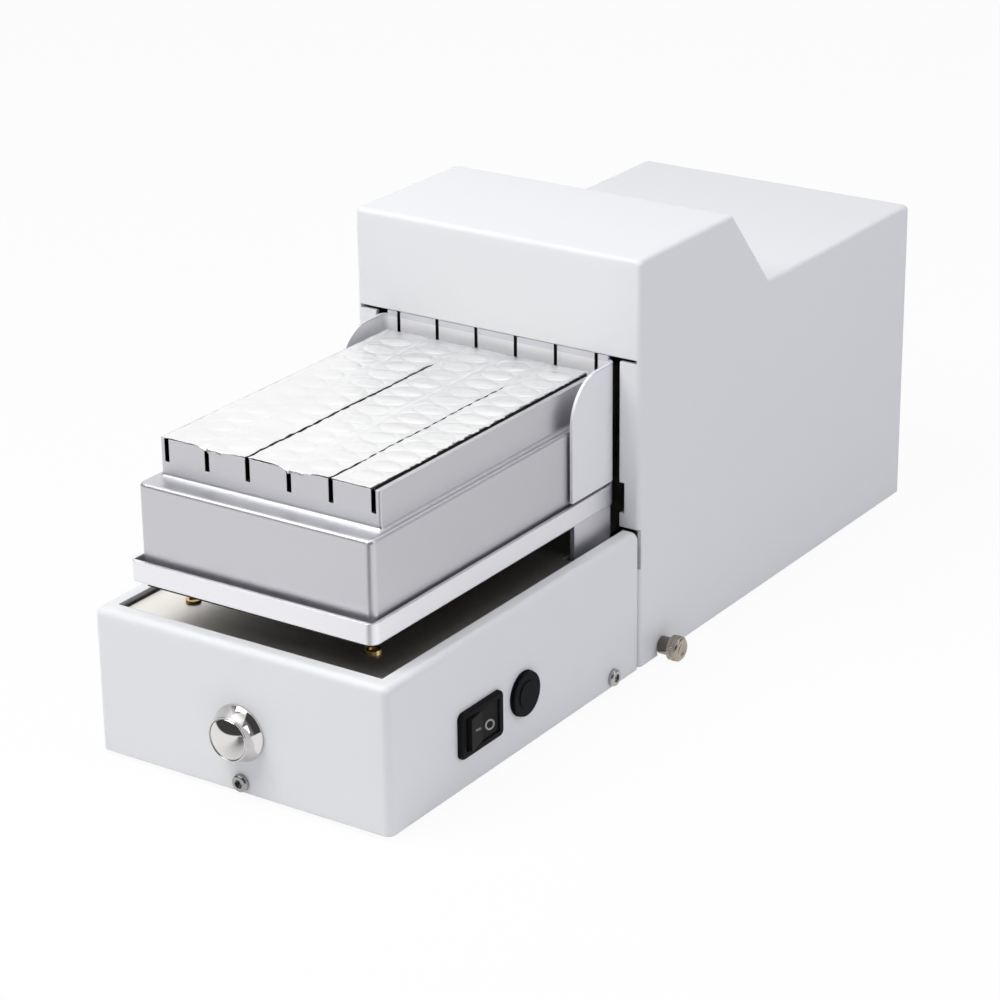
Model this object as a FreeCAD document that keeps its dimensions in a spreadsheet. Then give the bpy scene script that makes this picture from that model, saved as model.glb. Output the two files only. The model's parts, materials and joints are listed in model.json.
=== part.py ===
import FreeCAD, Part
import os
import re
import Sketcher

# Bench foil slitter with a heated block: a motor carriage carries the block from
# the open base into the tall rear housing, where round knives run in its slots.
# Millimetres. X is the width, Y runs from the front to the back, Z is up.
# In every call below a Y place counts from the front face of the base.

DIMENSIONS = {
    # Sheet metal and general fits
    "Sheet": 1.5,
    "CoverLift": 1.7,
    "BendRadius": 2.4,
    "HousingBend": 1.8,
    "FitGap": 0.02,
    "RunGap": 0.05,
    "ClearGap": 0.3,
    # How far a cut or a joined form runs past the face it meets
    "Overrun": 1.0,
    # Base plate and feet
    "PlateLift": 2.3,
    "PlateThick": 5.0,
    "FootRadius": 6.0,
    "FootSink": 0.8,
    "FootInset": 14.0,
    # Base cover and deck
    "RimWidth": 5.4,
    "SeamGap": 1.4,
    "DeckThick": 1.5,
    "DeckSlot": 1.6,
    "DeckStep": 4.0,
    "DeckGap": 0.5,
    "DeckScrewHalf": 33.4,
    "DeckScrewBack": 22.0,
    "DeckScrewRadius": 2.4,
    "DeckScrewHead": 0.7,
    "DeckScrewBore": 1.3,
    "DeckScrewDepth": 0.5,
    "DeckPost": 3.0,
    # Heated block
    "BlockWidth": 85.5,
    "LowerHeight": 27.1,
    "UpperHeight": 12.1,
    "FrontLedge": 8.4,
    "EndWall": 1.6,
    "RearWall": 3.4,
    "RimWall": 1.6,
    "SideLedge": 2.725,
    "BlockCorner": 2.4,
    "BlockEdge": 1.2,
    "LedgeFillet": 1.4,
    "UpperCorner": 0.8,
    "SlotWidth": 1.6,
    "SlotDepth": 7.3,
    # Reagent strips and their foil
    "WellPitch": 9.0,
    "WellRadius": 3.8,
    "WellDepth": 18.0,
    "StripFlange": 1.0,
    "StripWall": 0.9,
    "StripFloor": 1.0,
    "PocketGap": 0.3,
    "SeatGap": 0.1,
    "FoilThick": 0.25,
    "FoilCut": 1.2,
    "FoilLap": 0.8,
    # Tray, heater and insulation
    "TraySetback": 6.8,
    "TrayWall": 1.2,
    "TrayFloor": 2.0,
    "TrayDepth": 6.6,
    "TrayCorner": 3.0,
    "TrayRise": 8.4,
    "BlockSideFit": 1.05,
    "BlockEndFit": 2.0,
    "BlockRearFit": 2.9,
    "HeaterThick": 1.5,
    "HeaterInset": 1.5,
    "PadThick": 1.0,
    "PadInset": 1.0,
    "PadSide": 6.2,
    "ProbeRadius": 2.0,
    "ProbeDepth": 25.0,
    "ProbeTail": 5.8,
    # Knife fence
    "FenceSheet": 1.0,
    "FenceBend": 3.0,
    "FenceRise": 5.4,
    "FenceHalf": 42.0,
    "FenceSlot": 1.2,
    "WingReach": 24.3,
    "WingLift": 0.7,
    "WingInset": 1.6,
    "FenceSink": 0.2,
    "WingDrop": 1.5,
    "WingRadius": 15.0,
    # Carriage below the deck
    "CarriageTravel": 144.0,
    "BracketSheet": 1.5,
    "BracketLength": 20.9,
    "BracketFlange": 10.0,
    "CrossThick": 3.0,
    "CrossInset": 1.7,
    "CrossLength": 15.0,
    "CrossRoom": 5.3,
    "BearingHalf": 10.0,
    "BearingWidth": 24.0,
    "NutHalf": 13.0,
    "NutBarrel": 6.0,
    "NutFlange": 9.6,
    "NutFlangeThick": 3.5,
    "RodRadius": 4.0,
    "RodHalf": 30.0,
    "ScrewRadius": 4.0,
    "ScrewBearing": 8.0,
    # Carriage motor and bulkheads
    "BulkheadThick": 6.0,
    "BulkheadSide": 5.5,
    "BulkheadGap": 10.3,
    "StopGap": 1.8,
    "MotorSize": 35.0,
    "MotorLength": 34.0,
    "MotorGap": 2.7,
    "MotorRoom": 0.5,
    "MotorEdge": 3.0,
    "MotorPilot": 11.0,
    "MotorPilotThick": 2.0,
    "MotorBore": 8.0,
    "LimitGap": 1.0,
    "LimitWidth": 12.0,
    "LimitHeight": 6.0,
    "LimitSide": 16.0,
    # Housing
    "MouthGap": 1.4,
    "NotchReach": 1.8,
    "NotchBelow": 3.4,
    "SlitHeight": 1.3,
    "SeamNotch": 1.0,
    "SeamRelief": 13.0,
    "SeamRise": 0.3,
    "FenceHeadGap": 0.2,
    "WallGap": 0.8,
    "HeadRoom": 3.9,
    "RearRoom": 2.6,
    "StepLead": 2.8,
    "StepRun": 24.5,
    "ServiceBay": 30.0,
    # Knife unit
    "FrameGap": 0.5,
    "FrameThick": 3.0,
    "FrameSetback": 4.0,
    "FrameTail": 19.0,
    "FrameHeadGap": 3.9,
    "FrameTailHeight": 111.0,
    "KnifeRadius": 18.5,
    "KnifeThick": 0.6,
    "KnifeBevel": 0.25,
    "KnifeFloorGap": 2.9,
    "KnifeFrontGap": 1.6,
    "ShaftRadius": 4.0,
    "SpacerRadius": 6.5,
    "BearingRadius": 8.0,
    "PulleyRadius": 6.0,
    "PulleyFlange": 1.2,
    "PulleyWidth": 4.6,
    "PulleyFlangeThick": 0.8,
    "PulleySideGap": 1.0,
    "BeltCentres": 32.0,
    "MotorRise": 4.5,
    "BeltGap": 0.2,
    "BeltThick": 0.9,
    "KnifeMotorRadius": 12.0,
    "KnifeMotorLength": 50.0,
    "KnifeMotorSide": 36.0,
    "MotorShaft": 2.0,
    "PostRadius": 2.0,
    "PostCircle": 9.5,
    "TieSetback": 13.0,
    "TieLow": 107.0,
    "TieHeight": 6.0,
    # Start button
    "ButtonHeight": 21.2,
    "BezelRadius": 9.1,
    "BezelNose": 7.0,
    "BezelReach": 5.8,
    "BezelBarrel": 7.9,
    "BezelEdge": 0.3,
    "BarrelLength": 14.0,
    "CapRadius": 6.4,
    "CapReach": 7.8,
    "CapTail": 4.0,
    "CapEdge": 2.0,
    "ButtonTravel": 1.8,
    "SwitchLength": 18.0,
    "NutAcross": 19.0,
    "NutThick": 3.0,
    # Rocker switch
    "RockerBack": 45.6,
    "RockerHeight": 19.3,
    "RockerLength": 22.4,
    "RockerWidth": 15.0,
    "RockerLip": 1.6,
    "RockerCorner": 2.0,
    "RockerBodyLength": 19.2,
    "RockerBodyWidth": 12.6,
    "RockerBodyDepth": 17.0,
    "RockerWall": 0.9,
    "RockerCavity": 8.0,
    "PaddleHalf": 8.1,
    "PaddleEnd": 4.0,
    "PaddleMiddle": 3.3,
    "PaddleRoot": 1.5,
    "PaddlePivot": 2.0,
    "PaddleTilt": 6.0,
    "PivotRadius": 1.2,
    "PivotReach": 0.6,
    # Fuse holder
    "FuseBack": 69.5,
    "FuseHeight": 19.9,
    "FuseFlange": 7.3,
    "FuseFlangeThick": 0.6,
    "FuseBarrel": 6.2,
    "FuseLength": 30.0,
    "FuseBore": 4.6,
    "FuseEnd": 2.0,
    "FuseCapRadius": 7.1,
    "FuseCapReach": 0.7,
    "FuseStem": 8.0,
    "CartridgeRadius": 2.6,
    # Power inlet and supply
    "InletSide": 25.0,
    "InletHeight": 31.5,
    "InletLength": 31.0,
    "InletWidth": 24.0,
    "InletFlange": 2.5,
    "InletBodyLength": 27.0,
    "InletBodyWidth": 20.0,
    "InletDepth": 20.0,
    "InletWall": 1.6,
    "InletFloor": 3.0,
    "PinThick": 2.0,
    "PinWidth": 4.0,
    "PinPitch": 7.0,
    "PinDrop": 2.0,
    "PinSet": 5.0,
    "SupplyLength": 42.0,
    "SupplyDepth": 24.0,
    "SupplyHeight": 52.0,
    "SupplySide": 6.0,
    # Control board
    "BoardWidth": 30.0,
    "BoardLength": 58.0,
    "BoardThick": 1.6,
    "BoardRise": 6.0,
    "BoardEndGap": 4.0,
    "BoardEdge": 2.5,
    "StandoffRadius": 2.5,
    "StandoffInset": 4.0,
    "ChipHeight": 8.0,
    "CoilRadius": 5.0,
    "CoilHeight": 14.0,
    # Fasteners
    "HeadRadius": 2.8,
    "HeadHeight": 1.6,
    "HeadSocket": 1.5,
    "SocketDepth": 1.1,
    "BoltRadius": 1.5,
    "BoltLength": 8.0,
    "SideBolt": 120.6,
    "RearBoltHalf": 38.0,
    "ThumbBack": 13.6,
    "ThumbShank": 2.0,
    "ThumbLength": 9.0,
    "ThumbNeck": 3.0,
    "ThumbNeckReach": 3.6,
    "ThumbHead": 4.2,
    "ThumbHeadReach": 7.8,
    "ThumbEdge": 0.8,
}

# Knife slots, strips between them, wells in a strip, and the slots that hold a knife
SLOTS = 6
STRIPS = SLOTS - 1
WELLS = 12
KNIVES = (3, 5, 6)

DERIVED = {
    # Across the width, from the block outwards
    "BlockHalf": "BlockWidth / 2",
    "TrayInHalf": "BlockHalf + BlockSideFit",
    "TrayHalf": "TrayInHalf + TrayWall",
    "MouthHalf": "TrayHalf + MouthGap",
    "NotchHalf": "MouthHalf + NotchReach",
    "FrameIn": "NotchHalf + FrameGap",
    "FrameOut": "FrameIn + FrameThick",
    "InnerHalf": "FrameOut + WallGap",
    "BodyHalf": "InnerHalf + Sheet",
    "RimHalf": "BodyHalf - RimWidth",
    "DeckFrontHalf": "RimHalf - DeckSlot",
    "BracketIn": "TrayHalf - BracketSheet",
    "DeckRearHalf": "BracketIn - DeckGap",
    "WingIn": "TrayHalf - WingInset",
    "WingOut": "WingIn + FenceSheet",
    "BulkheadHalf": "InnerHalf - BulkheadSide",
    "UpperHalf": "BlockHalf - SideLedge",
    "SlotSpan": "UpperHalf - RimWall - SlotWidth / 2",
    "SlotPitch": f"2 * SlotSpan / {SLOTS - 1}",
    # Upwards, from the floor
    "PlateTop": "PlateLift + PlateThick",
    "PlateMid": "PlateLift + PlateThick / 2",
    "RodHeight": "PlateTop + MotorSize / 2 + MotorGap",
    "CrossLow": "RodHeight + BearingHalf",
    "CrossTop": "CrossLow + CrossThick",
    "DeckLow": "max(CrossTop + CrossRoom; RodHeight + MotorSize / 2 + MotorRoom)",
    "DeckTop": "DeckLow + DeckThick",
    "BaseHeight": "DeckTop + Sheet",
    "TrayLow": "BaseHeight + TrayRise",
    "TrayHigh": "TrayLow + TrayDepth",
    "PadLow": "TrayLow - PadThick",
    "MatLow": "TrayLow + TrayFloor",
    "BlockLow": "MatLow + HeaterThick",
    "LedgeTop": "BlockLow + LowerHeight",
    "UpperTop": "LedgeTop + UpperHeight",
    "SlotLow": "UpperTop - SlotDepth",
    "FenceTop": "UpperTop + FenceRise",
    "PanelLow": "FenceTop + FenceHeadGap",
    "PillarTop": "PanelLow - SlitHeight",
    "KnifeHeight": "SlotLow + KnifeFloorGap + KnifeRadius",
    "MotorHeight": "KnifeHeight + MotorRise",
    "BodyHeight": "KnifeHeight + KnifeRadius + HeadRoom + Sheet",
    "RearHeight": "FenceTop + RearRoom + Sheet",
    # Backwards, from the front face
    "TrayFront": "TraySetback",
    "BlockFront": "TrayFront + TrayWall + BlockEndFit",
    "UpperFront": "BlockFront + FrontLedge",
    "StripLength": f"WellPitch * {WELLS - 1} + 2 * WellRadius + 2 * StripWall",
    "BayFront": "UpperFront + EndWall",
    "BayRear": "BayFront + StripLength + 2 * PocketGap",
    "UpperRear": "BayRear + RearWall",
    "TrayRear": "UpperRear + BlockRearFit + TrayWall",
    "FenceFront": "TrayRear + SeatGap",
    "FenceRear": "FenceFront + FenceSheet",
    "HousingFront": "FenceFront - FenceSink",
    "BaseDepth": "HousingFront - SeamGap",
    "WingFront": "FenceFront - WingReach",
    "BracketRear": "WingFront + BracketLength",
    "CrossFront": "WingFront + CrossInset",
    "CrossRear": "CrossFront + CrossLength",
    "DeckSplit": "WingFront - DeckStep",
    "FrontWallRear": "WingFront - BulkheadGap",
    "FrontWallFront": "FrontWallRear - BulkheadThick",
    "BoardBack": "FrontWallFront - BoardEndGap - BoardLength",
    "RearWallFront": "BracketRear + CarriageTravel + StopGap",
    "RearWallRear": "RearWallFront + BulkheadThick",
    "BodyDepth": "RearWallRear + ServiceBay",
    "KnifeBack": "HousingFront + Sheet + KnifeFrontGap + KnifeRadius",
    "MotorBack": "KnifeBack + BeltCentres",
    "StepStart": "MotorBack + StepLead",
    "StepEnd": "StepStart + StepRun",
    "StepShift": "Sheet * tan(atan2(BodyHeight - RearHeight; StepRun) / 2)",
    "FrameFront": "HousingFront + Sheet + FrameSetback",
    "FrameRear": "MotorBack + FrameTail",
    "FrameTop": "BodyHeight - Sheet - FrameHeadGap",
    "PulleyOuter": "FrameIn - PulleySideGap",
    "PulleyInner": "PulleyOuter - PulleyWidth",
    "ThumbPlace": "HousingFront + ThumbBack",
    # Place of the front face, so that the whole object is centred on the origin
    "FrontPlace": "(CapReach - BodyDepth - InletFlange) / 2",
}

doc = FreeCAD.newDocument("FoilSlitter")
pieces = []


def linked(formula):
    """A formula with each size name pointing at its cell in a sheet."""
    def cell(match):
        word = match.group(0)
        if word in DIMENSIONS:
            return "Dim." + word
        if word in DERIVED:
            return "Place." + word
        return word
    return re.sub(r"[A-Z][A-Za-z]+", cell, str(formula))


def make_sheet(name, rows):
    """A sheet with one named cell for each row."""
    sheet = doc.addObject("Spreadsheet::Sheet", name)
    for number, (alias, text) in enumerate(rows.items(), start=1):
        sheet.set(f"A{number}", alias)
        sheet.set(f"B{number}", text)
        sheet.setAlias(f"B{number}", alias)
    doc.recompute()
    return sheet


dim = make_sheet("Dim", {alias: str(size) for alias, size in DIMENSIONS.items()})
place = make_sheet("Place", {alias: "=" + linked(text) for alias, text in DERIVED.items()})
trial = doc.addObject("Spreadsheet::Sheet", "Trial")


def size(name):
    """Present value of a named size."""
    cell = dim if name in DIMENSIONS else place
    return float(getattr(cell, name))


def bind(item, **formulas):
    """Tie properties of an object to formulas; double underscores stand for dots."""
    for name, formula in formulas.items():
        item.setExpression(name.replace("__", "."), linked(formula))


def put(item, x, y, z):
    """Tie the place of an object; y counts from the front face."""
    bind(item, Placement__Base__x=x, Placement__Base__y=f"FrontPlace + {y}", Placement__Base__z=z)


TURNS = {
    "x": FreeCAD.Rotation(FreeCAD.Vector(0, 1, 0), 90),
    "y": FreeCAD.Rotation(FreeCAD.Vector(1, 0, 0), -90),
    "z": FreeCAD.Rotation(),
}


def both(formula):
    """A range that is symmetrical about the middle."""
    return f"-({formula})", f"{formula}"


def sided(side, low, high):
    """A range on the right (side 1) or its mirror on the left (side -1)."""
    if side > 0:
        return f"{low}", f"{high}"
    return f"-({high})", f"-({low})"


def new_body(label):
    """An empty body, registered as a sub-part under its label."""
    body = doc.addObject("PartDesign::Body", label)
    body.Label = label
    pieces.append(body)
    return body


def loose_body(label):
    """An empty body that becomes one solid of a group."""
    body = doc.addObject("PartDesign::Body", label)
    body.Label = label
    return body


def group(label, members):
    """One sub-part made of several separate solids."""
    item = doc.addObject("Part::Compound", label)
    item.Label = label
    item.Links = members
    pieces.append(item)
    return item


def block(body, x, y, z, cut=False):
    """Add or cut a block between two x, two y and two z places."""
    kind = "PartDesign::SubtractiveBox" if cut else "PartDesign::AdditiveBox"
    item = body.newObject(kind, body.Label + "_block")
    bind(
        item,
        Length=f"({x[1]}) - ({x[0]})",
        Width=f"({y[1]}) - ({y[0]})",
        Height=f"({z[1]}) - ({z[0]})",
    )
    put(item, x[0], f"({y[0]})", z[0])
    return item


def rod(body, axis, radius, along, across, cut=False):
    """Add or cut a cylinder along an axis; across gives its other two places."""
    kind = "PartDesign::SubtractiveCylinder" if cut else "PartDesign::AdditiveCylinder"
    item = body.newObject(kind, body.Label + "_rod")
    item.Placement = FreeCAD.Placement(FreeCAD.Vector(), TURNS[axis])
    bind(item, Radius=radius, Height=f"({along[1]}) - ({along[0]})")
    spot = {"x": (along[0], *across), "y": (across[0], along[0], across[1]), "z": (*across, along[0])}
    x, y, z = spot[axis]
    put(item, x, f"({y})", z)
    return item


def cone(body, axis, radii, along, across):
    """Add a cone along an axis, from the first radius to the second."""
    item = body.newObject("PartDesign::AdditiveCone", body.Label + "_cone")
    item.Placement = FreeCAD.Placement(FreeCAD.Vector(), TURNS[axis])
    bind(item, Radius1=radii[0], Radius2=radii[1], Height=f"({along[1]}) - ({along[0]})")
    spot = {"x": (along[0], *across), "y": (across[0], along[0], across[1]), "z": (*across, along[0])}
    x, y, z = spot[axis]
    put(item, x, f"({y})", z)
    return item


def prism(body, axis, circumradius, along, across, cut=False):
    """Add or cut a six-sided prism along an axis."""
    kind = "PartDesign::SubtractivePrism" if cut else "PartDesign::AdditivePrism"
    item = body.newObject(kind, body.Label + "_prism")
    item.Polygon = 6
    item.Placement = FreeCAD.Placement(FreeCAD.Vector(), TURNS[axis])
    bind(item, Circumradius=circumradius, Height=f"({along[1]}) - ({along[0]})")
    spot = {"x": (along[0], *across), "y": (across[0], along[0], across[1]), "z": (*across, along[0])}
    x, y, z = spot[axis]
    put(item, x, f"({y})", z)
    return item


def origin_item(body, role):
    """A plane or axis of a body's own origin."""
    return next(item for item in body.Origin.OriginFeatures if item.Role == role)


def outline(body, role, points, offset, shift):
    """A closed outline of straight lines on one origin plane, each corner tied to a formula."""
    sketch = body.newObject("Sketcher::SketchObject", body.Label + "_outline")
    sketch.AttachmentSupport = [(origin_item(body, role), "")]
    sketch.MapMode = "FlatFace"
    bind(sketch, AttachmentOffset__Base__z=offset, AttachmentOffset__Base__x=shift[0])
    bind(sketch, AttachmentOffset__Base__y=shift[1])
    spots = []
    for across, up in points:
        spots.append(FreeCAD.Vector(worth(across), worth(up), 0))
    count = len(points)
    for number in range(count):
        sketch.addGeometry(Part.LineSegment(spots[number], spots[(number + 1) % count]))
    for number in range(count):
        sketch.addConstraint(Sketcher.Constraint("Coincident", number, 2, (number + 1) % count, 1))
    for number, (across, up) in enumerate(points):
        for kind, formula in (("DistanceX", across), ("DistanceY", up)):
            worth_now = worth(formula)
            index = sketch.addConstraint(Sketcher.Constraint(kind, -1, 1, number, 1, worth_now))
            sketch.setExpression(f"Constraints[{index}]", linked(formula))
    return sketch


def worth(formula):
    """Present value of a formula, worked out in a sheet of its own."""
    trial.set("A1", "=" + linked(formula))
    trial.recompute()
    return float(trial.get("A1"))


def pad(body, sketch, length):
    """Carry an outline along its normal."""
    item = body.newObject("PartDesign::Pad", body.Label + "_pad")
    item.Profile = sketch
    bind(item, Length=length)
    return item


def pocket(body, sketch, length):
    """Cut an outline along its normal, on the same side as a pad would go."""
    item = body.newObject("PartDesign::Pocket", body.Label + "_pocket")
    item.Profile = sketch
    item.Reversed = True
    bind(item, Length=length)
    return item


def rounded(body, choose, radius, kind="PartDesign::Fillet"):
    """Round or bevel the edges that the chooser picks out of the body's present shape."""
    doc.recompute()
    tip = body.Tip
    names = []
    for number, edge in enumerate(tip.Shape.Edges, start=1):
        if choose(edge):
            names.append(f"Edge{number}")
    item = body.newObject(kind, body.Label + "_edge")
    item.Base = (tip, names)
    if kind == "PartDesign::Fillet":
        bind(item, Radius=radius)
    else:
        bind(item, Size=radius)
    return item


def row(body, feature, role, length, count):
    """Repeat a feature along one origin axis."""
    doc.recompute()
    item = body.newObject("PartDesign::LinearPattern", body.Label + "_row")
    item.Originals = [feature]
    item.Direction = (origin_item(body, role), [""])
    bind(item, Length=length)
    item.Occurrences = count
    body.Tip = item
    return item


NEAR = 1e-4


def along(edge, axis):
    """True for a straight edge that runs along one axis."""
    box = edge.BoundBox
    spans = {"x": box.XLength, "y": box.YLength, "z": box.ZLength}
    wide = spans.pop(axis)
    return wide > NEAR and max(spans.values()) < NEAR


def at(place_now, *names):
    """True where a coordinate equals one of the given values."""
    return any(abs(place_now - value) < NEAR for value in names)


def front(name):
    """Frame coordinate of a size counted from the front face."""
    return size("FrontPlace") + size(name)


def is_ring(edge, axis, where):
    """True for an edge that lies flat at one place along an axis."""
    box = edge.BoundBox
    ends = {"x": (box.XMin, box.XMax), "y": (box.YMin, box.YMax), "z": (box.ZMin, box.ZMax)}[axis]
    return at(ends[0], where) and at(ends[1], where)


# Base: plate, feet, cover and deck

def base_plate():
    """Thick plate that carries everything; the covers are screwed to its edges."""
    body = new_body("base_plate")
    block(body, both("InnerHalf"), ("Sheet", "BodyDepth - Sheet"), ("PlateLift", "PlateTop"))
    for x, y in foot_places():
        sunk = ("PlateLift - Overrun", "PlateLift + FootSink")
        rod(body, "z", "FootRadius + RunGap", sunk, (x, y), cut=True)
    rod(body, "y", "BoltRadius + FitGap", ("0", "BoltLength"), ("0", "PlateMid"), cut=True)
    for side in (1, -1):
        reach = sided(side, "BodyHalf - BoltLength", "InnerHalf + Overrun")
        rod(body, "x", "BoltRadius + FitGap", reach, ("SideBolt", "PlateMid"), cut=True)
        rear = ("BodyDepth - BoltLength", "BodyDepth")
        rod(body, "y", "BoltRadius + FitGap", rear, (f"{side} * RearBoltHalf", "PlateMid"), cut=True)
        reach = sided(side, "BodyHalf - ThumbLength", "InnerHalf + Overrun")
        rod(body, "x", "ThumbShank + RunGap", reach, ("ThumbPlace", "PlateMid"), cut=True)


def foot_places():
    """Middles of the four feet."""
    spots = []
    for side in (-1, 1):
        for back in ("FootInset + Sheet", "BodyDepth - FootInset - Sheet"):
            spots.append((f"{side} * (InnerHalf - FootInset)", back))
    return spots


def rubber_feet():
    """Four pads let into the underside of the base plate."""
    feet = []
    for number, (x, y) in enumerate(foot_places(), start=1):
        body = loose_body(f"foot_{number}")
        rod(body, "z", "FootRadius", ("0", "PlateLift + FootSink"), (x, y))
        feet.append(body)
    group("rubber_feet", feet)


def base_cover():
    """Bent front cover with a narrow rim round its open top."""
    body = new_body("base_cover")
    block(body, both("BodyHalf"), ("0", "BaseDepth"), ("CoverLift", "BaseHeight"))
    face = size("FrontPlace")
    top = size("BaseHeight")
    half = size("BodyHalf")

    def bends(edge):
        box = edge.BoundBox
        upright = along(edge, "z") and at(box.YMin, face)
        crown = along(edge, "x") and at(box.YMin, face) and at(box.ZMin, top)
        side = along(edge, "y") and at(box.ZMin, top) and at(abs(box.XMin), half)
        return upright or crown or side

    rounded(body, bends, "BendRadius")
    inner = ("CoverLift - Overrun", "BaseHeight - Sheet")
    block(body, both("InnerHalf"), ("Sheet", "BaseDepth + Overrun"), inner, cut=True)
    rim = ("BaseHeight - Sheet - Overrun", "BaseHeight + Overrun")
    block(body, both("RimHalf"), ("RimWidth", "BaseDepth + Overrun"), rim, cut=True)
    rod(body, "y", "BezelBarrel + FitGap", ("-Overrun", "Sheet + Overrun"), ("0", "ButtonHeight"), cut=True)
    rod(body, "y", "BoltRadius + FitGap", ("-Overrun", "Sheet + Overrun"), ("0", "PlateMid"), cut=True)
    for side in (1, -1):
        wall = sided(side, "InnerHalf - Overrun", "BodyHalf + Overrun")
        rod(body, "x", "BoltRadius + FitGap", wall, ("SideBolt", "PlateMid"), cut=True)
    wall = ("InnerHalf - Overrun", "BodyHalf + Overrun")
    rod(body, "x", "FuseBarrel + FitGap", wall, ("FuseBack", "FuseHeight"), cut=True)
    opening = ranges("RockerBack", "RockerBodyLength / 2 + FitGap")
    block(body, wall, opening, ranges("RockerHeight", "RockerBodyWidth / 2 + FitGap"), cut=True)


def ranges(middle, half):
    """A range about a middle."""
    return f"{middle} - ({half})", f"{middle} + {half}"


def deck_plate():
    """Smooth metal deck under the tray, narrower where the carriage brackets pass."""
    body = new_body("deck_plate")
    level = ("DeckLow", "DeckTop")
    block(body, both("DeckFrontHalf"), ("Sheet + ClearGap", "DeckSplit"), level)
    block(body, both("DeckRearHalf"), ("DeckSplit", "RearWallRear"), level)


def deck_screws():
    """Four low brass screws on the deck, over two front posts and the rear wall."""
    screws = []
    posts = []
    for side in (-1, 1):
        across = f"{side} * DeckScrewHalf"
        for back in ("DeckScrewBack", "RearWallFront + BulkheadThick / 2"):
            body = loose_body(f"deck_screw_{len(screws) + 1}")
            rod(body, "z", "DeckScrewRadius", ("DeckTop", "DeckTop + DeckScrewHead"), (across, back))
            bore = ("DeckTop + DeckScrewHead - DeckScrewDepth", "DeckTop + DeckScrewHead + Overrun")
            rod(body, "z", "DeckScrewBore", bore, (across, back), cut=True)
            screws.append(body)
        post = loose_body(f"deck_post_{len(posts) + 1}")
        rod(post, "z", "DeckPost", ("PlateTop", "DeckLow"), (across, "DeckScrewBack"))
        posts.append(post)
    group("deck_screws", screws)
    group("deck_posts", posts)


# Carriage drive below the deck

def bulkhead(label, start, end):
    """Cross wall that holds the guide rods and one end of the deck."""
    body = new_body(label)
    block(body, both("BulkheadHalf"), (start, end), ("PlateTop", "DeckLow"))
    through = (f"{start} - Overrun", f"{end} + Overrun")
    for side in (1, -1):
        rod(body, "y", "RodRadius + FitGap", through, (f"{side} * RodHalf", "RodHeight"), cut=True)
    return body, through


def bulkheads():
    """Front wall with the motor's pilot bore, rear wall with the screw bearing's bore."""
    body, through = bulkhead("front_bulkhead", "FrontWallFront", "FrontWallRear")
    rod(body, "y", "ScrewRadius + ClearGap", through, ("0", "RodHeight"), cut=True)
    sunk = ("FrontWallFront - Overrun", "FrontWallFront + MotorPilotThick")
    rod(body, "y", "MotorPilot + FitGap", sunk, ("0", "RodHeight"), cut=True)
    body, through = bulkhead("rear_bulkhead", "RearWallFront", "RearWallRear")
    rod(body, "y", "ScrewBearing + FitGap", through, ("0", "RodHeight"), cut=True)


def guide_rods():
    """Two round rods that the carriage runs on."""
    rods = []
    for side, name in ((-1, "left"), (1, "right")):
        body = loose_body(f"guide_rod_{name}")
        span = ("FrontWallFront", "RearWallRear")
        rod(body, "y", "RodRadius", span, (f"{side} * RodHalf", "RodHeight"))
        rods.append(body)
    group("guide_rods", rods)


def carriage_motor():
    """Square stepping motor on the front bulkhead."""
    body = new_body("carriage_motor")
    upright = ranges("RodHeight", "MotorSize / 2")
    block(body, both("MotorSize / 2"), ("FrontWallFront - MotorLength", "FrontWallFront"), upright)
    rounded(body, lambda edge: along(edge, "y"), "MotorEdge")
    pilot = ("FrontWallFront - Overrun", "FrontWallFront + MotorPilotThick")
    rod(body, "y", "MotorPilot", pilot, ("0", "RodHeight"))
    bore = ("FrontWallFront - MotorBore", "FrontWallRear")
    rod(body, "y", "ScrewRadius + RunGap", bore, ("0", "RodHeight"), cut=True)


def lead_screw():
    """Screw that turns in the motor and in the rear bearing."""
    body = new_body("lead_screw")
    span = ("FrontWallFront - MotorBore + ClearGap", "RearWallRear")
    rod(body, "y", "ScrewRadius", span, ("0", "RodHeight"))


def screw_bearing():
    """Bearing ring for the far end of the screw."""
    body = new_body("screw_bearing")
    span = ("RearWallFront", "RearWallRear")
    rod(body, "y", "ScrewBearing", span, ("0", "RodHeight"))
    through = ("RearWallFront - Overrun", "RearWallRear + Overrun")
    rod(body, "y", "ScrewRadius + RunGap", through, ("0", "RodHeight"), cut=True)


def lead_nut():
    """Flanged nut on the screw."""
    body = new_body("lead_nut")
    spot = ("0", "RodHeight")
    rod(body, "y", "NutFlange", ("CrossFront", "CrossFront + NutFlangeThick"), spot)
    rod(body, "y", "NutBarrel", ("CrossFront", "CrossRear - NutFlangeThick"), spot)
    rod(body, "y", "ScrewRadius + RunGap", ("CrossFront - Overrun", "CrossRear + Overrun"), spot, cut=True)


def nut_block():
    """Block under the cross plate that holds the nut."""
    body = new_body("nut_block")
    span = ("CrossFront + NutFlangeThick", "CrossRear - NutFlangeThick")
    block(body, both("NutHalf"), span, ("RodHeight - BearingHalf", "CrossLow"))
    through = ("CrossFront - Overrun", "CrossRear + Overrun")
    rod(body, "y", "NutBarrel + FitGap", through, ("0", "RodHeight"), cut=True)


def bearing_blocks():
    """Two slide bearings on the guide rods."""
    blocks = []
    for side, name in ((-1, "left"), (1, "right")):
        body = loose_body(f"bearing_block_{name}")
        middle = f"{side} * RodHalf"
        across = ranges(middle, "BearingWidth / 2")
        block(body, across, ("CrossFront", "CrossRear"), ("RodHeight - BearingHalf", "CrossLow"))
        through = ("CrossFront - Overrun", "CrossRear + Overrun")
        rod(body, "y", "RodRadius + RunGap", through, (middle, "RodHeight"), cut=True)
        blocks.append(body)
    group("bearing_blocks", blocks)


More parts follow.
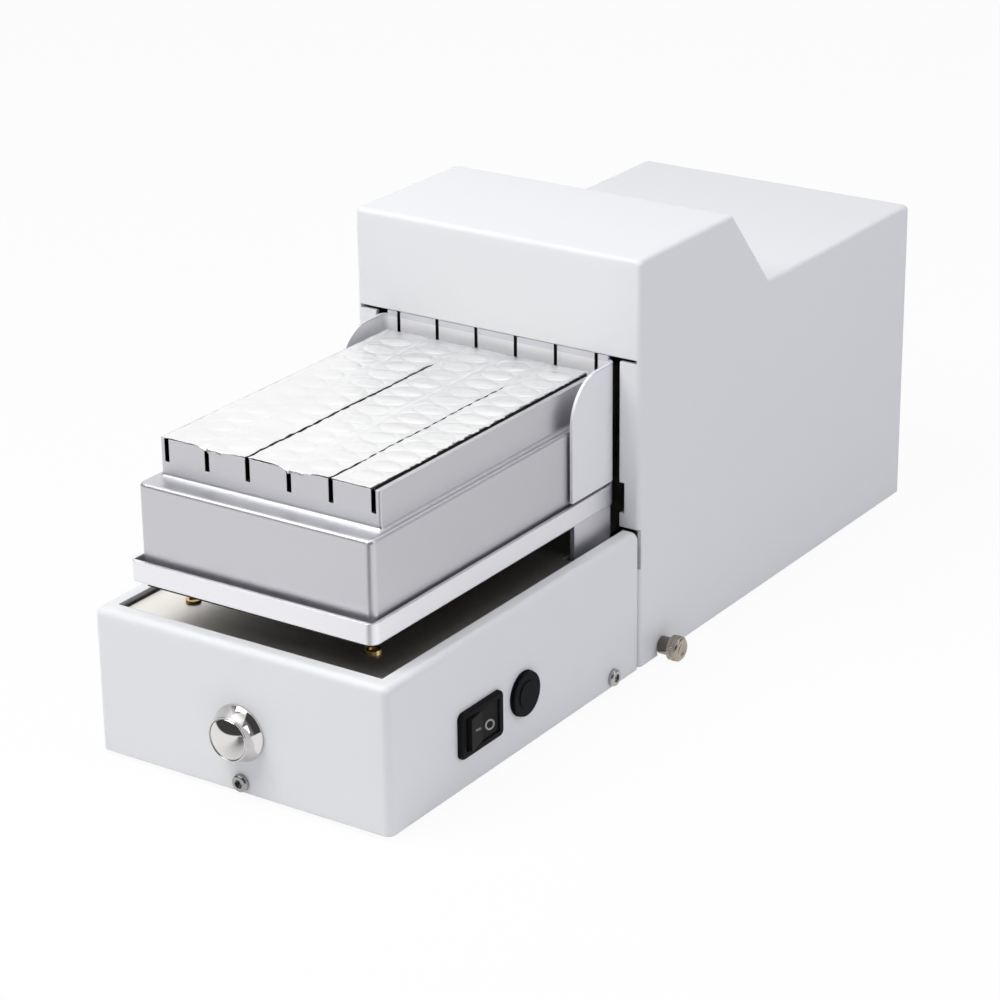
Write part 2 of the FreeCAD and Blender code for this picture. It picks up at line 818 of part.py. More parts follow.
def cross_plate():
    """Plate that joins the bearings, the nut and the two brackets."""
    body = new_body("cross_plate")
    block(body, both("BracketIn"), ("CrossFront", "CrossRear"), ("CrossLow", "CrossTop"))


def carriage_brackets():
    """Bent side plates that rise past the deck and carry the tray."""
    for side, name in ((-1, "left"), (1, "right")):
        body = new_body(f"carriage_bracket_{name}")
        wall = sided(side, "BracketIn", "TrayHalf")
        block(body, wall, ("WingFront", "BracketRear"), ("CrossLow", "TrayLow"))
        inward = sided(side, "BracketIn - BracketFlange", "TrayHalf")
        block(body, inward, ("WingFront", "BracketRear"), ("TrayLow - BracketSheet", "TrayLow"))


def limit_switches():
    """One end switch on each bulkhead, facing the cross plate."""
    switches = []
    level = ("CrossTop - LimitHeight", "CrossTop")
    across = ("LimitSide", "LimitSide + LimitWidth")
    spans = {
        "front": ("FrontWallRear", "CrossFront - LimitGap"),
        "rear": ("CrossRear + CarriageTravel + LimitGap", "RearWallFront"),
    }
    for name, span in spans.items():
        body = loose_body(f"limit_switch_{name}")
        block(body, across, span, level)
        switches.append(body)
    group("limit_switches", switches)


# Carriage above the deck

def tray():
    """Shallow metal pan with rounded corners."""
    body = new_body("tray")
    block(body, both("TrayHalf"), ("TrayFront", "TrayRear"), ("TrayLow", "TrayHigh"))
    rounded(body, lambda edge: along(edge, "z"), "TrayCorner")
    inside = ("TrayFront + TrayWall", "TrayRear - TrayWall")
    block(body, both("TrayInHalf"), inside, ("MatLow", "TrayHigh + Overrun"), cut=True)


def insulation_pad():
    """Dark heat shield under the tray."""
    body = new_body("insulation_pad")
    span = ("TrayFront + PadInset", "WingFront - PadInset")
    block(body, both("TrayHalf - PadSide"), span, ("PadLow", "TrayLow"))


def heater_mat():
    """Flat heater between the tray and the block."""
    body = new_body("heater_mat")
    span = ("BlockFront + HeaterInset", "UpperRear - HeaterInset")
    block(body, both("BlockHalf - HeaterInset"), span, ("MatLow", "BlockLow"))


def heat_block():
    """Stepped block with knife slots and one pocket for each strip."""
    body = new_body("heat_block")
    block(body, both("BlockHalf"), ("BlockFront", "UpperRear"), ("BlockLow", "LedgeTop"))
    ledge = size("LedgeTop")
    crown = size("UpperTop")
    face = front("BlockFront")
    nose = front("UpperFront")
    tail = front("UpperRear")
    half = size("UpperHalf")

    def corners(edge):
        return along(edge, "z") and at(edge.BoundBox.YMin, face)

    def shoulder(edge):
        return is_ring(edge, "z", ledge) and edge.BoundBox.YMin < tail - NEAR

    def upper_corners(edge):
        box = edge.BoundBox
        return along(edge, "z") and at(box.ZMax, crown) and at(box.YMin, nose)

    def root(edge):
        box = edge.BoundBox
        inside = max(abs(box.XMin), abs(box.XMax)) < half + NEAR
        return shoulder(edge) and inside and box.YMin > nose - NEAR

    rounded(body, corners, "BlockCorner")
    rounded(body, shoulder, "BlockEdge")
    block(body, both("UpperHalf"), ("UpperFront", "UpperRear"), ("LedgeTop - Overrun", "UpperTop"))
    rounded(body, upper_corners, "UpperCorner")
    rounded(body, root, "LedgeFillet")
    through = ("UpperFront - LedgeFillet", "UpperRear + LedgeFillet")
    slot = block(
        body,
        ranges("-SlotSpan", "SlotWidth / 2"),
        through,
        ("SlotLow", "UpperTop + Overrun"),
        cut=True,
    )
    row(body, slot, "X_Axis", "2 * SlotSpan", SLOTS)
    first = strip_middle(0)
    spread = "2 * SlotSpan - SlotPitch"
    seat = block(
        body,
        ranges(first, "SlotPitch / 2 - SlotWidth / 2 + SeatGap"),
        ("BayFront", "BayRear"),
        ("UpperTop - StripFlange", "UpperTop + Overrun"),
        cut=True,
    )
    row(body, seat, "X_Axis", spread, STRIPS)
    pocket_half = "WellRadius + StripWall + PocketGap"
    deep = "UpperTop - WellDepth - StripFloor - PocketGap"
    cell = block(
        body,
        ranges(first, pocket_half),
        ("BayFront", "BayRear"),
        (deep, "UpperTop + Overrun"),
        cut=True,
    )
    row(body, cell, "X_Axis", spread, STRIPS)
    bore = ("UpperRear - ProbeDepth", "UpperRear + Overrun")
    rod(body, "y", "ProbeRadius + FitGap", bore, ("0", probe_height()), cut=True)


def strip_middle(number):
    """Middle of a strip, counted from the left."""
    return f"{number} * SlotPitch + SlotPitch / 2 - SlotSpan"


def probe_height():
    """Height of the temperature probe, halfway up the solid part of the block."""
    return "(BlockLow + UpperTop - WellDepth - StripFloor) / 2"


def reagent_strips():
    """Five strips of wells, each hung by its flange in a pocket of the block."""
    strips = []
    for number in range(STRIPS):
        body = loose_body(f"reagent_strip_{number + 1}")
        middle = strip_middle(number)
        span = ("BayFront + PocketGap", "BayFront + PocketGap + StripLength")
        low = "UpperTop - WellDepth - StripFloor"
        block(body, ranges(middle, "WellRadius + StripWall"), span, (low, "UpperTop"))
        flange = ("UpperTop - StripFlange", "UpperTop")
        block(body, ranges(middle, "SlotPitch / 2 - SlotWidth / 2"), span, flange)
        first = "BayFront + PocketGap + StripWall + WellRadius"
        depth = ("UpperTop - WellDepth", "UpperTop + Overrun")
        well = rod(body, "z", "WellRadius", depth, (middle, first), cut=True)
        row(body, well, "Y_Axis", f"{WELLS - 1} * WellPitch", WELLS)
        strips.append(body)
    group("reagent_strips", strips)


def foil_sheets():
    """Sealing foil over the strips, parted where a knife has cut it."""
    edge = "SlotPitch / 2"
    sheets = {
        "foil_left": ("-SlotSpan - SlotWidth / 2 - FoilLap", f"-({edge}) - FoilCut / 2"),
        "foil_middle": (f"-({edge}) + FoilCut / 2", f"3 * {edge} - FoilCut / 2"),
        "foil_right": (f"3 * {edge} + FoilCut / 2", "SlotSpan - FoilCut / 2"),
    }
    for label, across in sheets.items():
        body = new_body(label)
        block(body, across, ("UpperFront", "UpperRear"), ("UpperTop", "UpperTop + FoilThick"))


def fence():
    """Bent knife fence behind the tray, with two rounded wings beside the block."""
    body = new_body("fence")
    wall = ("FenceFront", "FenceRear")
    side_level = ("TrayHigh + WingLift", "FenceTop - WingDrop")
    block(body, both("WingOut"), wall, side_level)
    for side in (1, -1):
        block(body, sided(side, "WingIn", "WingOut"), ("WingFront", "FenceRear"), side_level)
    tail = front("FenceRear")
    face = front("FenceFront")
    inside = size("WingIn")
    crest = size("FenceTop") - size("WingDrop")
    nose = front("WingFront")

    def bend(edge):
        return along(edge, "z") and at(edge.BoundBox.YMin, tail)

    def inner_bend(edge):
        return along(edge, "z") and at(edge.BoundBox.YMin, face) and at(abs(edge.BoundBox.XMin), inside)

    def shoulder(edge):
        return along(edge, "x") and at(edge.BoundBox.YMin, nose) and at(edge.BoundBox.ZMin, crest)

    rounded(body, bend, "FenceBend")
    rounded(body, inner_bend, "FenceBend - FenceSheet")
    rounded(body, shoulder, "WingRadius")
    block(body, both("FenceHalf"), wall, ("MatLow", "FenceTop"))
    slot = block(
        body,
        ranges("-SlotSpan", "FenceSlot / 2"),
        ("FenceFront - Overrun", "FenceRear + Overrun"),
        ("SlotLow", "FenceTop + Overrun"),
        cut=True,
    )
    row(body, slot, "X_Axis", "2 * SlotSpan", SLOTS)
    hole = ("FenceFront - Overrun", "FenceRear + Overrun")
    rod(body, "y", "ProbeRadius + ClearGap", hole, ("0", probe_height()), cut=True)


def temperature_probe():
    """Probe in the back of the block."""
    body = new_body("temperature_probe")
    span = ("UpperRear - ProbeDepth", "UpperRear + ProbeTail")
    rod(body, "y", "ProbeRadius", span, ("0", probe_height()))


# Knife unit

KNIFE_SLOTS = [f"{number - 1} * SlotPitch - SlotSpan" for number in KNIVES]


def side_frames():
    """Upright plates on the base plate that carry the knife shaft."""
    profile = [
        ("FrameFront", "PlateTop"),
        ("FrameRear", "PlateTop"),
        ("FrameRear", "FrameTailHeight + StepLead"),
        ("StepStart - StepLead", "FrameTop"),
        ("FrameFront", "FrameTop"),
    ]
    for side, name in ((-1, "left"), (1, "right")):
        body = new_body(f"side_frame_{name}")
        low, high = sided(side, "FrameIn", "FrameOut")
        sketch = outline(body, "YZ_Plane", profile, low, ("FrontPlace", "0"))
        pad(body, sketch, "FrameThick")
        bore = (f"{low} - Overrun", f"{high} + Overrun")
        rod(body, "x", "BearingRadius + FitGap", bore, ("KnifeBack", "KnifeHeight"), cut=True)


def tie_bar():
    """Bar that holds the two side frames apart."""
    body = new_body("tie_bar")
    span = ("MotorBack + TieSetback", "FrameRear")
    block(body, both("FrameIn"), span, ("TieLow", "TieLow + TieHeight"))


def knife_shaft():
    """Shaft across the housing above the path of the block."""
    body = new_body("knife_shaft")
    rod(body, "x", "ShaftRadius", both("FrameOut"), ("KnifeBack", "KnifeHeight"))


def slitting_knives():
    """Round knives, one over each slot where the foil is cut."""
    knives = []
    for number, middle in enumerate(KNIFE_SLOTS, start=1):
        body = loose_body(f"slitting_knife_{number}")
        span = ranges(middle, "KnifeThick / 2")
        rod(body, "x", "KnifeRadius", span, ("KnifeBack", "KnifeHeight"))
        rounded(body, lambda edge: edge.BoundBox.YLength > NEAR, "KnifeBevel", "PartDesign::Chamfer")
        rod(body, "x", "ShaftRadius", span, ("KnifeBack", "KnifeHeight"), cut=True)
        knives.append(body)
    group("slitting_knives", knives)


def knife_spacers():
    """Sleeves on the shaft that keep the knives over their slots."""
    stops = ["-FrameIn + PulleySideGap"]
    for middle in KNIFE_SLOTS:
        stops.append(f"{middle} - KnifeThick / 2")
        stops.append(f"{middle} + KnifeThick / 2")
    stops.append("PulleyInner")
    spacers = []
    for number in range(0, len(stops), 2):
        body = loose_body(f"knife_spacer_{number // 2 + 1}")
        span = (stops[number], stops[number + 1])
        rod(body, "x", "SpacerRadius", span, ("KnifeBack", "KnifeHeight"))
        rod(body, "x", "ShaftRadius", span, ("KnifeBack", "KnifeHeight"), cut=True)
        spacers.append(body)
    group("knife_spacers", spacers)


def pulley(body, spot):
    """Flanged belt wheel near the right side frame."""
    rod(body, "x", "PulleyRadius", ("PulleyInner", "PulleyOuter"), spot)
    flange = "PulleyRadius + PulleyFlange"
    rod(body, "x", flange, ("PulleyInner", "PulleyInner + PulleyFlangeThick"), spot)
    rod(body, "x", flange, ("PulleyOuter - PulleyFlangeThick", "PulleyOuter"), spot)


def knife_pulley():
    """Belt wheel on the knife shaft."""
    body = new_body("knife_pulley")
    spot = ("KnifeBack", "KnifeHeight")
    pulley(body, spot)
    rod(body, "x", "ShaftRadius", ("PulleyInner - Overrun", "PulleyOuter + Overrun"), spot, cut=True)


def motor_pulley():
    """Belt wheel with its shaft, turning in the knife motor."""
    body = new_body("motor_pulley")
    spot = ("MotorBack", "MotorHeight")
    pulley(body, spot)
    rod(body, "x", "MotorShaft", ("KnifeMotorSide - MotorBore", "PulleyOuter"), spot)


def knife_bearings():
    """Bearing rings of the knife shaft in the side frames."""
    rings = []
    for side, name in ((-1, "left"), (1, "right")):
        body = loose_body(f"knife_bearing_{name}")
        span = sided(side, "FrameIn", "FrameOut")
        rod(body, "x", "BearingRadius", span, ("KnifeBack", "KnifeHeight"))
        rod(body, "x", "ShaftRadius + RunGap", span, ("KnifeBack", "KnifeHeight"), cut=True)
        rings.append(body)
    group("knife_bearings", rings)


def knife_motor():
    """Round motor behind the knives, held off the right side frame by posts."""
    body = new_body("knife_motor")
    span = ("KnifeMotorSide - KnifeMotorLength", "KnifeMotorSide")
    spot = ("MotorBack", "MotorHeight")
    rod(body, "x", "KnifeMotorRadius", span, spot)
    bore = ("KnifeMotorSide - MotorBore - ClearGap", "KnifeMotorSide + Overrun")
    rod(body, "x", "MotorShaft + RunGap", bore, spot, cut=True)


def motor_posts():
    """Three spacers between the knife motor and the side frame."""
    posts = []
    places = (("PostCircle", "0"), ("0", "PostCircle"), ("0", "-PostCircle"))
    for number, (back, up) in enumerate(places, start=1):
        body = loose_body(f"motor_post_{number}")
        spot = (f"MotorBack + {back}", f"MotorHeight + {up}")
        rod(body, "x", "PostRadius", ("KnifeMotorSide", "FrameIn"), spot)
        posts.append(body)
    group("motor_posts", posts)


def belt_loop(radius):
    """Face inside two equal arcs round the pulleys and the two straight runs between them."""
    low = FreeCAD.Vector(0, front("KnifeBack"), size("KnifeHeight"))
    high = FreeCAD.Vector(0, front("MotorBack"), size("MotorHeight"))
    run = (high - low).normalize()
    out = FreeCAD.Vector(0, -run.z, run.y) * radius
    edges = [
        Part.LineSegment(low + out, high + out).toShape(),
        Part.Arc(high + out, high + run * radius, high - out).toShape(),
        Part.LineSegment(high - out, low - out).toShape(),
        Part.Arc(low - out, low - run * radius, low + out).toShape(),
    ]
    return Part.Face(Part.Wire(edges))


def knife_belt():
    """Flat belt from the motor pulley to the knife pulley."""
    inner = size("PulleyRadius") + size("BeltGap")
    ring = belt_loop(inner + size("BeltThick")).cut(belt_loop(inner))
    edge = size("PulleyFlangeThick") + size("ClearGap")
    width = size("PulleyWidth") - 2 * edge
    item = doc.addObject("Part::Feature", "knife_belt")
    item.Label = "knife_belt"
    item.Shape = ring.extrude(FreeCAD.Vector(width, 0, 0))
    item.Placement = FreeCAD.Placement(FreeCAD.Vector(size("PulleyInner") + edge, 0, 0), FreeCAD.Rotation())
    pieces.append(item)


# Housing

def rear_cover():
    """Bent housing: tall front part, slanted step and low rear part, open below and behind."""
    body = new_body("rear_cover")
    outer = [
        ("HousingFront", "CoverLift"),
        ("HousingFront", "BodyHeight"),
        ("StepStart", "BodyHeight"),
        ("StepEnd", "RearHeight"),
        ("BodyDepth", "RearHeight"),
        ("BodyDepth", "CoverLift"),
    ]
    shift = ("FrontPlace", "0")
    sketch = outline(body, "YZ_Plane", outer, "-BodyHalf", shift)
    pad(body, sketch, "2 * BodyHalf")
    face = front("HousingFront")
    top = size("BodyHeight")
    low = size("CoverLift")
    back = front("BodyDepth")
    half = size("BodyHalf")

    def cross_bends(edge):
        box = edge.BoundBox
        return along(edge, "x") and box.ZMin > low + NEAR and box.YMin < back - NEAR

    def side_bends(edge):
        box = edge.BoundBox
        flat = at(box.XMin, half, -half) and at(box.XMax, half, -half) and box.XLength < NEAR
        return flat and box.ZMax > low + NEAR and box.YMin < back - NEAR

    rounded(body, cross_bends, "HousingBend")
    rounded(body, side_bends, "HousingBend")
    inner = [
        ("HousingFront + Sheet", "CoverLift - Overrun"),
        ("HousingFront + Sheet", "BodyHeight - Sheet"),
        ("StepStart - StepShift", "BodyHeight - Sheet"),
        ("StepEnd - StepShift", "RearHeight - Sheet"),
        ("BodyDepth + Overrun", "RearHeight - Sheet"),
        ("BodyDepth + Overrun", "CoverLift - Overrun"),
    ]
    sketch = outline(body, "YZ_Plane", inner, "-InnerHalf", shift)
    pocket(body, sketch, "2 * InnerHalf")
    wall = ("HousingFront - Overrun", "HousingFront + Sheet + Overrun")
    block(body, both("MouthHalf"), wall, ("CoverLift - Overrun", "PanelLow"), cut=True)
    block(body, both("InnerHalf"), wall, ("PillarTop", "PanelLow"), cut=True)
    block(body, both("InnerHalf"), wall, ("CoverLift - Overrun", "PlateTop + FitGap"), cut=True)
    block(body, both("NotchHalf"), wall, ("TrayLow - NotchBelow", "TrayHigh + ClearGap"), cut=True)
    relief = ("BaseHeight - SeamRelief", "BaseHeight + SeamRise")
    block(body, both("InnerHalf"), wall, relief, cut=True)
    corner = ("HousingFront - Overrun", "HousingFront + SeamNotch")
    block(body, both("BodyHalf + Overrun"), corner, relief, cut=True)
    for side in (1, -1):
        through = sided(side, "InnerHalf - Overrun", "BodyHalf + Overrun")
        rod(body, "x", "ThumbShank + ClearGap", through, ("ThumbPlace", "PlateMid"), cut=True)
        notch = ranges("ThumbPlace", "ThumbShank + ClearGap")
        block(body, through, notch, ("CoverLift - Overrun", "PlateMid"), cut=True)


def rear_panel():
    """Flat panel that closes the back and holds the power inlet."""
    body = new_body("rear_panel")
    span = ("BodyDepth - Sheet", "BodyDepth")
    level = ("CoverLift", "RearHeight - Sheet - FitGap")
    block(body, both("InnerHalf - FitGap"), span, level)
    through = ("BodyDepth - Sheet - Overrun", "BodyDepth + Overrun")
    across = ranges("-InletSide", "InletBodyLength / 2 + FitGap")
    block(body, across, through, ranges("InletHeight", "InletBodyWidth / 2 + FitGap"), cut=True)
    for side in (1, -1):
        rod(body, "y", "BoltRadius + FitGap", through, (f"{side} * RearBoltHalf", "PlateMid"), cut=True)


# Controls

def start_button():
    """Sprung metal push button on the front: bezel, cap, switch and nut."""
    spot = ("0", "ButtonHeight")
    bezel = new_body("button_bezel")
    cone(bezel, "y", ("BezelNose", "BezelRadius"), ("-BezelReach", "0"), spot)
    nose = size("FrontPlace") - size("BezelReach")
    rounded(bezel, lambda edge: is_ring(edge, "y", nose), "BezelEdge")
    rod(bezel, "y", "BezelBarrel", ("-Overrun", "BarrelLength"), spot)
    through = ("-BezelReach - Overrun", "BarrelLength + Overrun")
    rod(bezel, "y", "CapRadius + ClearGap", through, spot, cut=True)
    cap = new_body("button_cap")
    rod(cap, "y", "CapRadius", ("-CapReach", "CapTail"), spot)
    tip = size("FrontPlace") - size("CapReach")
    rounded(cap, lambda edge: is_ring(edge, "y", tip), "CapEdge")
    switch = new_body("button_switch")
    rod(switch, "y", "BezelBarrel", ("BarrelLength", "BarrelLength + SwitchLength"), spot)
    stem = ("CapTail + ButtonTravel + ClearGap", "BarrelLength + Overrun")
    rod(switch, "y", "CapRadius", stem, spot)
    nut = new_body("button_nut")
    prism(nut, "y", "NutAcross / sqrt(3)", ("Sheet", "Sheet + NutThick"), spot)
    rod(nut, "y", "BezelBarrel + FitGap", ("Sheet - Overrun", "Sheet + NutThick + Overrun"), spot, cut=True)


def rocker_switch():
    """Rocker in a snap-in frame on the right side; it turns about an upright pin."""
    frame = new_body("rocker_frame")
    lengthwise = ranges("RockerBack", "RockerLength / 2")
    upright = ranges("RockerHeight", "RockerWidth / 2")
    block(frame, ("BodyHalf", "BodyHalf + RockerLip"), lengthwise, upright)
    rounded(frame, lambda edge: along(edge, "x"), "RockerCorner")
    outer = size("BodyHalf") + size("RockerLip")
    rounded(frame, lambda edge: is_ring(edge, "x", outer), "RockerLip / 2")
    inside = ("BodyHalf - RockerBodyDepth", "BodyHalf + RockerLip / 2")
    lengthwise = ranges("RockerBack", "RockerBodyLength / 2")
    block(frame, inside, lengthwise, ranges("RockerHeight", "RockerBodyWidth / 2"))
    hollow = ("BodyHalf - RockerCavity", "BodyHalf + RockerLip + Overrun")
    lengthwise = ranges("RockerBack", "RockerBodyLength / 2 - RockerWall")
    block(frame, hollow, lengthwise, ranges("RockerHeight", "RockerBodyWidth / 2 - RockerWall"), cut=True)
    paddle_half = "RockerBodyWidth / 2 - RockerWall - ClearGap"
    pin = ranges("RockerHeight", f"{paddle_half} + PivotReach")
    hole = ranges("RockerHeight", f"{paddle_half} + PivotReach + RunGap")
    pivot = ("BodyHalf - PaddlePivot", "RockerBack")
    rod(frame, "z", "PivotRadius + RunGap", hole, pivot, cut=True)
    paddle = new_body("rocker")
    profile = [
        ("PaddleEnd", "-PaddleHalf"),
        ("PaddleMiddle", "0"),
        ("PaddleEnd", "PaddleHalf"),
        ("-PaddleRoot", "PaddleHalf"),
        ("-PaddleRoot", "-PaddleHalf"),
    ]
    sketch = outline(paddle, "XY_Plane", profile, f"-({paddle_half})", ("0", "0"))
    pad(paddle, sketch, f"2 * ({paddle_half})")
    item = paddle.newObject("PartDesign::AdditiveCylinder", "rocker_pin")
    bind(item, Radius="PivotRadius", Height=f"({pin[1]}) - ({pin[0]})")
    bind(item, Placement__Base__z=f"-({paddle_half}) - PivotReach")
    turn = FreeCAD.Rotation(FreeCAD.Vector(0, 0, 1), size("PaddleTilt"))
    paddle.Placement = FreeCAD.Placement(FreeCAD.Vector(), turn)
    put(paddle, "BodyHalf - PaddlePivot", "RockerBack", "RockerHeight")


def fuse():
    """Panel fuse holder on the right side, with its bayonet cap and cartridge."""
    spot = ("FuseBack", "FuseHeight")
    holder = new_body("fuse_holder")
    rod(holder, "x", "FuseFlange", ("BodyHalf", "BodyHalf + FuseFlangeThick"), spot)
    rod(holder, "x", "FuseBarrel", ("BodyHalf - FuseLength", "BodyHalf"), spot)
    bore = ("BodyHalf - FuseLength + FuseEnd", "BodyHalf + FuseFlangeThick + Overrun")
    rod(holder, "x", "FuseBore", bore, spot, cut=True)
    cap = new_body("fuse_cap")
    seat = "BodyHalf + FuseFlangeThick + ClearGap"
    rod(cap, "x", "FuseCapRadius", (seat, f"{seat} + FuseCapReach"), spot)
    outer = size("BodyHalf") + size("FuseFlangeThick") + size("ClearGap") + size("FuseCapReach")
    rounded(cap, lambda edge: is_ring(edge, "x", outer), "FuseCapReach / 3")
    stem = ("BodyHalf - FuseStem", f"{seat} + Overrun")
    rod(cap, "x", "FuseBore - ClearGap", stem, spot)
    cartridge = new_body("fuse_cartridge")
    span = ("BodyHalf - FuseLength + FuseEnd", "BodyHalf - FuseStem - ClearGap")
    rod(cartridge, "x", "CartridgeRadius", span, spot)


# Power and control

def power_inlet():
    """Snap-in mains inlet on the rear panel."""
    body = new_body("power_inlet")
    across = ranges("-InletSide", "InletLength / 2")
    upright = ranges("InletHeight", "InletWidth / 2")
    block(body, across, ("BodyDepth", "BodyDepth + InletFlange"), upright)
    across = ranges("-InletSide", "InletBodyLength / 2")
    upright = ranges("InletHeight", "InletBodyWidth / 2")
    block(body, across, ("BodyDepth - InletDepth", "BodyDepth + InletFlange / 2"), upright)
    across = ranges("-InletSide", "InletBodyLength / 2 - InletWall")
    upright = ranges("InletHeight", "InletBodyWidth / 2 - InletWall")
    hollow = ("BodyDepth - InletDepth + InletFloor", "BodyDepth + InletFlange + Overrun")
    block(body, across, hollow, upright, cut=True)
    pin = ("BodyDepth - InletDepth + InletFloor - Overrun", "BodyDepth + InletFlange - PinSet")
    for number in (-1, 0, 1):
        drop = "PinDrop" if number == 0 else "-PinDrop"
        middle = f"-InletSide + {number} * PinPitch"
        upright = ranges(f"InletHeight + {drop}", "PinWidth / 2")
        block(body, ranges(middle, "PinThick / 2"), pin, upright)


def power_supply():
    """Boxed supply beside the inlet."""
    body = new_body("power_supply")
    span = ("BodyDepth - 2 * Sheet - SupplyDepth", "BodyDepth - 2 * Sheet")
    across = ("SupplySide", "SupplySide + SupplyLength")
    block(body, across, span, ("PlateTop", "PlateTop + SupplyHeight"))


def control_board():
    """Circuit board at the left of the base with its larger parts, on four standoffs."""
    left = "-InnerHalf + BoardEdge"
    low = "PlateTop + BoardRise"
    top = "PlateTop + BoardRise + BoardThick"
    board = loose_body("board")
    block(board, (left, f"{left} + BoardWidth"), ("BoardBack", "BoardBack + BoardLength"), (low, top))
    driver = loose_body("motor_driver")
    across = (f"{left} + BoardWidth / 3", f"{left} + BoardWidth * 2 / 3")
    span = ("BoardBack + BoardLength / 2", "BoardBack + BoardLength * 3 / 4")
    block(driver, across, span, (top, f"{top} + ChipHeight"))
    members = [board, driver]
    for number in (1, 2):
        coil = loose_body(f"capacitor_{number}")
        spot = (f"{left} + BoardWidth * {number} / 3", "BoardBack + BoardLength / 4")
        rod(coil, "z", "CoilRadius", (top, f"{top} + CoilHeight"), spot)
        members.append(coil)
    group("control_board", members)
    posts = []
    inset = "StandoffInset"
    for x in (f"{left} + {inset}", f"{left} + BoardWidth - {inset}"):
        for y in (f"BoardBack + {inset}", f"BoardBack + BoardLength - {inset}"):
            post = loose_body(f"standoff_{len(posts) + 1}")
            rod(post, "z", "StandoffRadius", ("PlateTop", low), (x, y))
            posts.append(post)
    group("board_standoffs", posts)


# Fasteners

def cap_screw(label, axis, way, face, across):
    """Domed socket screw whose head sits on a face; way is the side the head points to."""
    body = loose_body(label)
    head = (face, f"{face} + HeadHeight") if way > 0 else (f"{face} - HeadHeight", face)
    shank = (f"{face} - BoltLength", face) if way > 0 else (face, f"{face} + BoltLength")
    rod(body, axis, "HeadRadius", head, across)
    doc.recompute()
    box = body.Shape.BoundBox
    outer = {"x": (box.XMin, box.XMax), "y": (box.YMin, box.YMax)}[axis][1 if way > 0 else 0]
    rounded(body, lambda edge: is_ring(edge, axis, outer), "HeadHeight / 2")
    rod(body, axis, "BoltRadius", shank, across)
    if way > 0:
        socket = (f"{face} + HeadHeight - SocketDepth", f"{face} + HeadHeight + Overrun")
    else:
        socket = (f"{face} - HeadHeight - Overrun", f"{face} - HeadHeight + SocketDepth")
    prism(body, axis, "HeadSocket", socket, across, cut=True)
    return body


def cover_screws():
    """Socket screws of the base cover and the rear panel."""
    screws = [cap_screw("front_screw", "y", -1, "0", ("0", "PlateMid"))]
    screws.append(cap_screw("right_screw", "x", 1, "BodyHalf", ("SideBolt", "PlateMid")))
    screws.append(cap_screw("left_screw", "x", -1, "-BodyHalf", ("SideBolt", "PlateMid")))
    for side, name in ((-1, "left"), (1, "right")):
        spot = (f"{side} * RearBoltHalf", "PlateMid")
        screws.append(cap_screw(f"rear_screw_{name}", "y", 1, "BodyDepth", spot))
    group("cover_screws", screws)


def thumbscrews():
    """Knurled screws that hold the housing to the base plate."""
    for side, name in ((-1, "left"), (1, "right")):
        body = new_body(f"thumbscrew_{name}")
        spot = ("ThumbPlace", "PlateMid")
        head = sided(side, "BodyHalf + ThumbNeckReach", "BodyHalf + ThumbHeadReach")
        rod(body, "x", "ThumbHead", head, spot)
        rounded(body, lambda edge: edge.BoundBox.YLength > NEAR, "ThumbEdge")
        neck = sided(side, "BodyHalf + ClearGap", "BodyHalf + ThumbNeckReach + Overrun")
        rod(body, "x", "ThumbNeck", neck, spot)
        shank = sided(side, "BodyHalf - ThumbLength + ClearGap", "BodyHalf + Overrun")
        rod(body, "x", "ThumbShank", shank, spot)


BUILDERS = (
    base_plate, rubber_feet, base_cover, deck_plate, deck_screws,
    bulkheads, guide_rods, carriage_motor, lead_screw, screw_bearing,
    lead_nut, nut_block, bearing_blocks, cross_plate, carriage_brackets, limit_switches,
    tray, insulation_pad, heater_mat, heat_block,
    reagent_strips, foil_sheets, fence, temperature_probe,
    side_frames, tie_bar, knife_shaft, slitting_knives, knife_spacers,
    knife_pulley, motor_pulley, knife_bearings, knife_motor, motor_posts, knife_belt,
    rear_cover, rear_panel,
    start_button, rocker_switch, fuse,
    power_inlet, power_supply, control_board,
    cover_screws, thumbscrews,
)


def check_all():
    """Stop if any object failed or any sub-part is empty or invalid."""
    for item in doc.Objects:
        bad = {"Invalid", "Error"} & set(item.State)
        if bad:
            raise RuntimeError(f"{item.Name} ({item.Label}) is {bad}")
    for piece in pieces:
        shape = piece.Shape
        if shape.isNull() or not shape.isValid() or not shape.Solids:
            raise RuntimeError(f"{piece.Label} has no valid solid")


for build in BUILDERS:
    build()
doc.recompute()
check_all()
os.makedirs("parts", exist_ok=True)
for piece in pieces:
    piece.Shape.exportStep(f"parts/{piece.Label}.step")
    print(f"{piece.Label}: {len(piece.Shape.Solids)} solids, {piece.Shape.Volume:.1f} cubic mm")
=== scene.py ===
import json
import math

import bpy
import numpy as np
from mathutils import Matrix, Vector


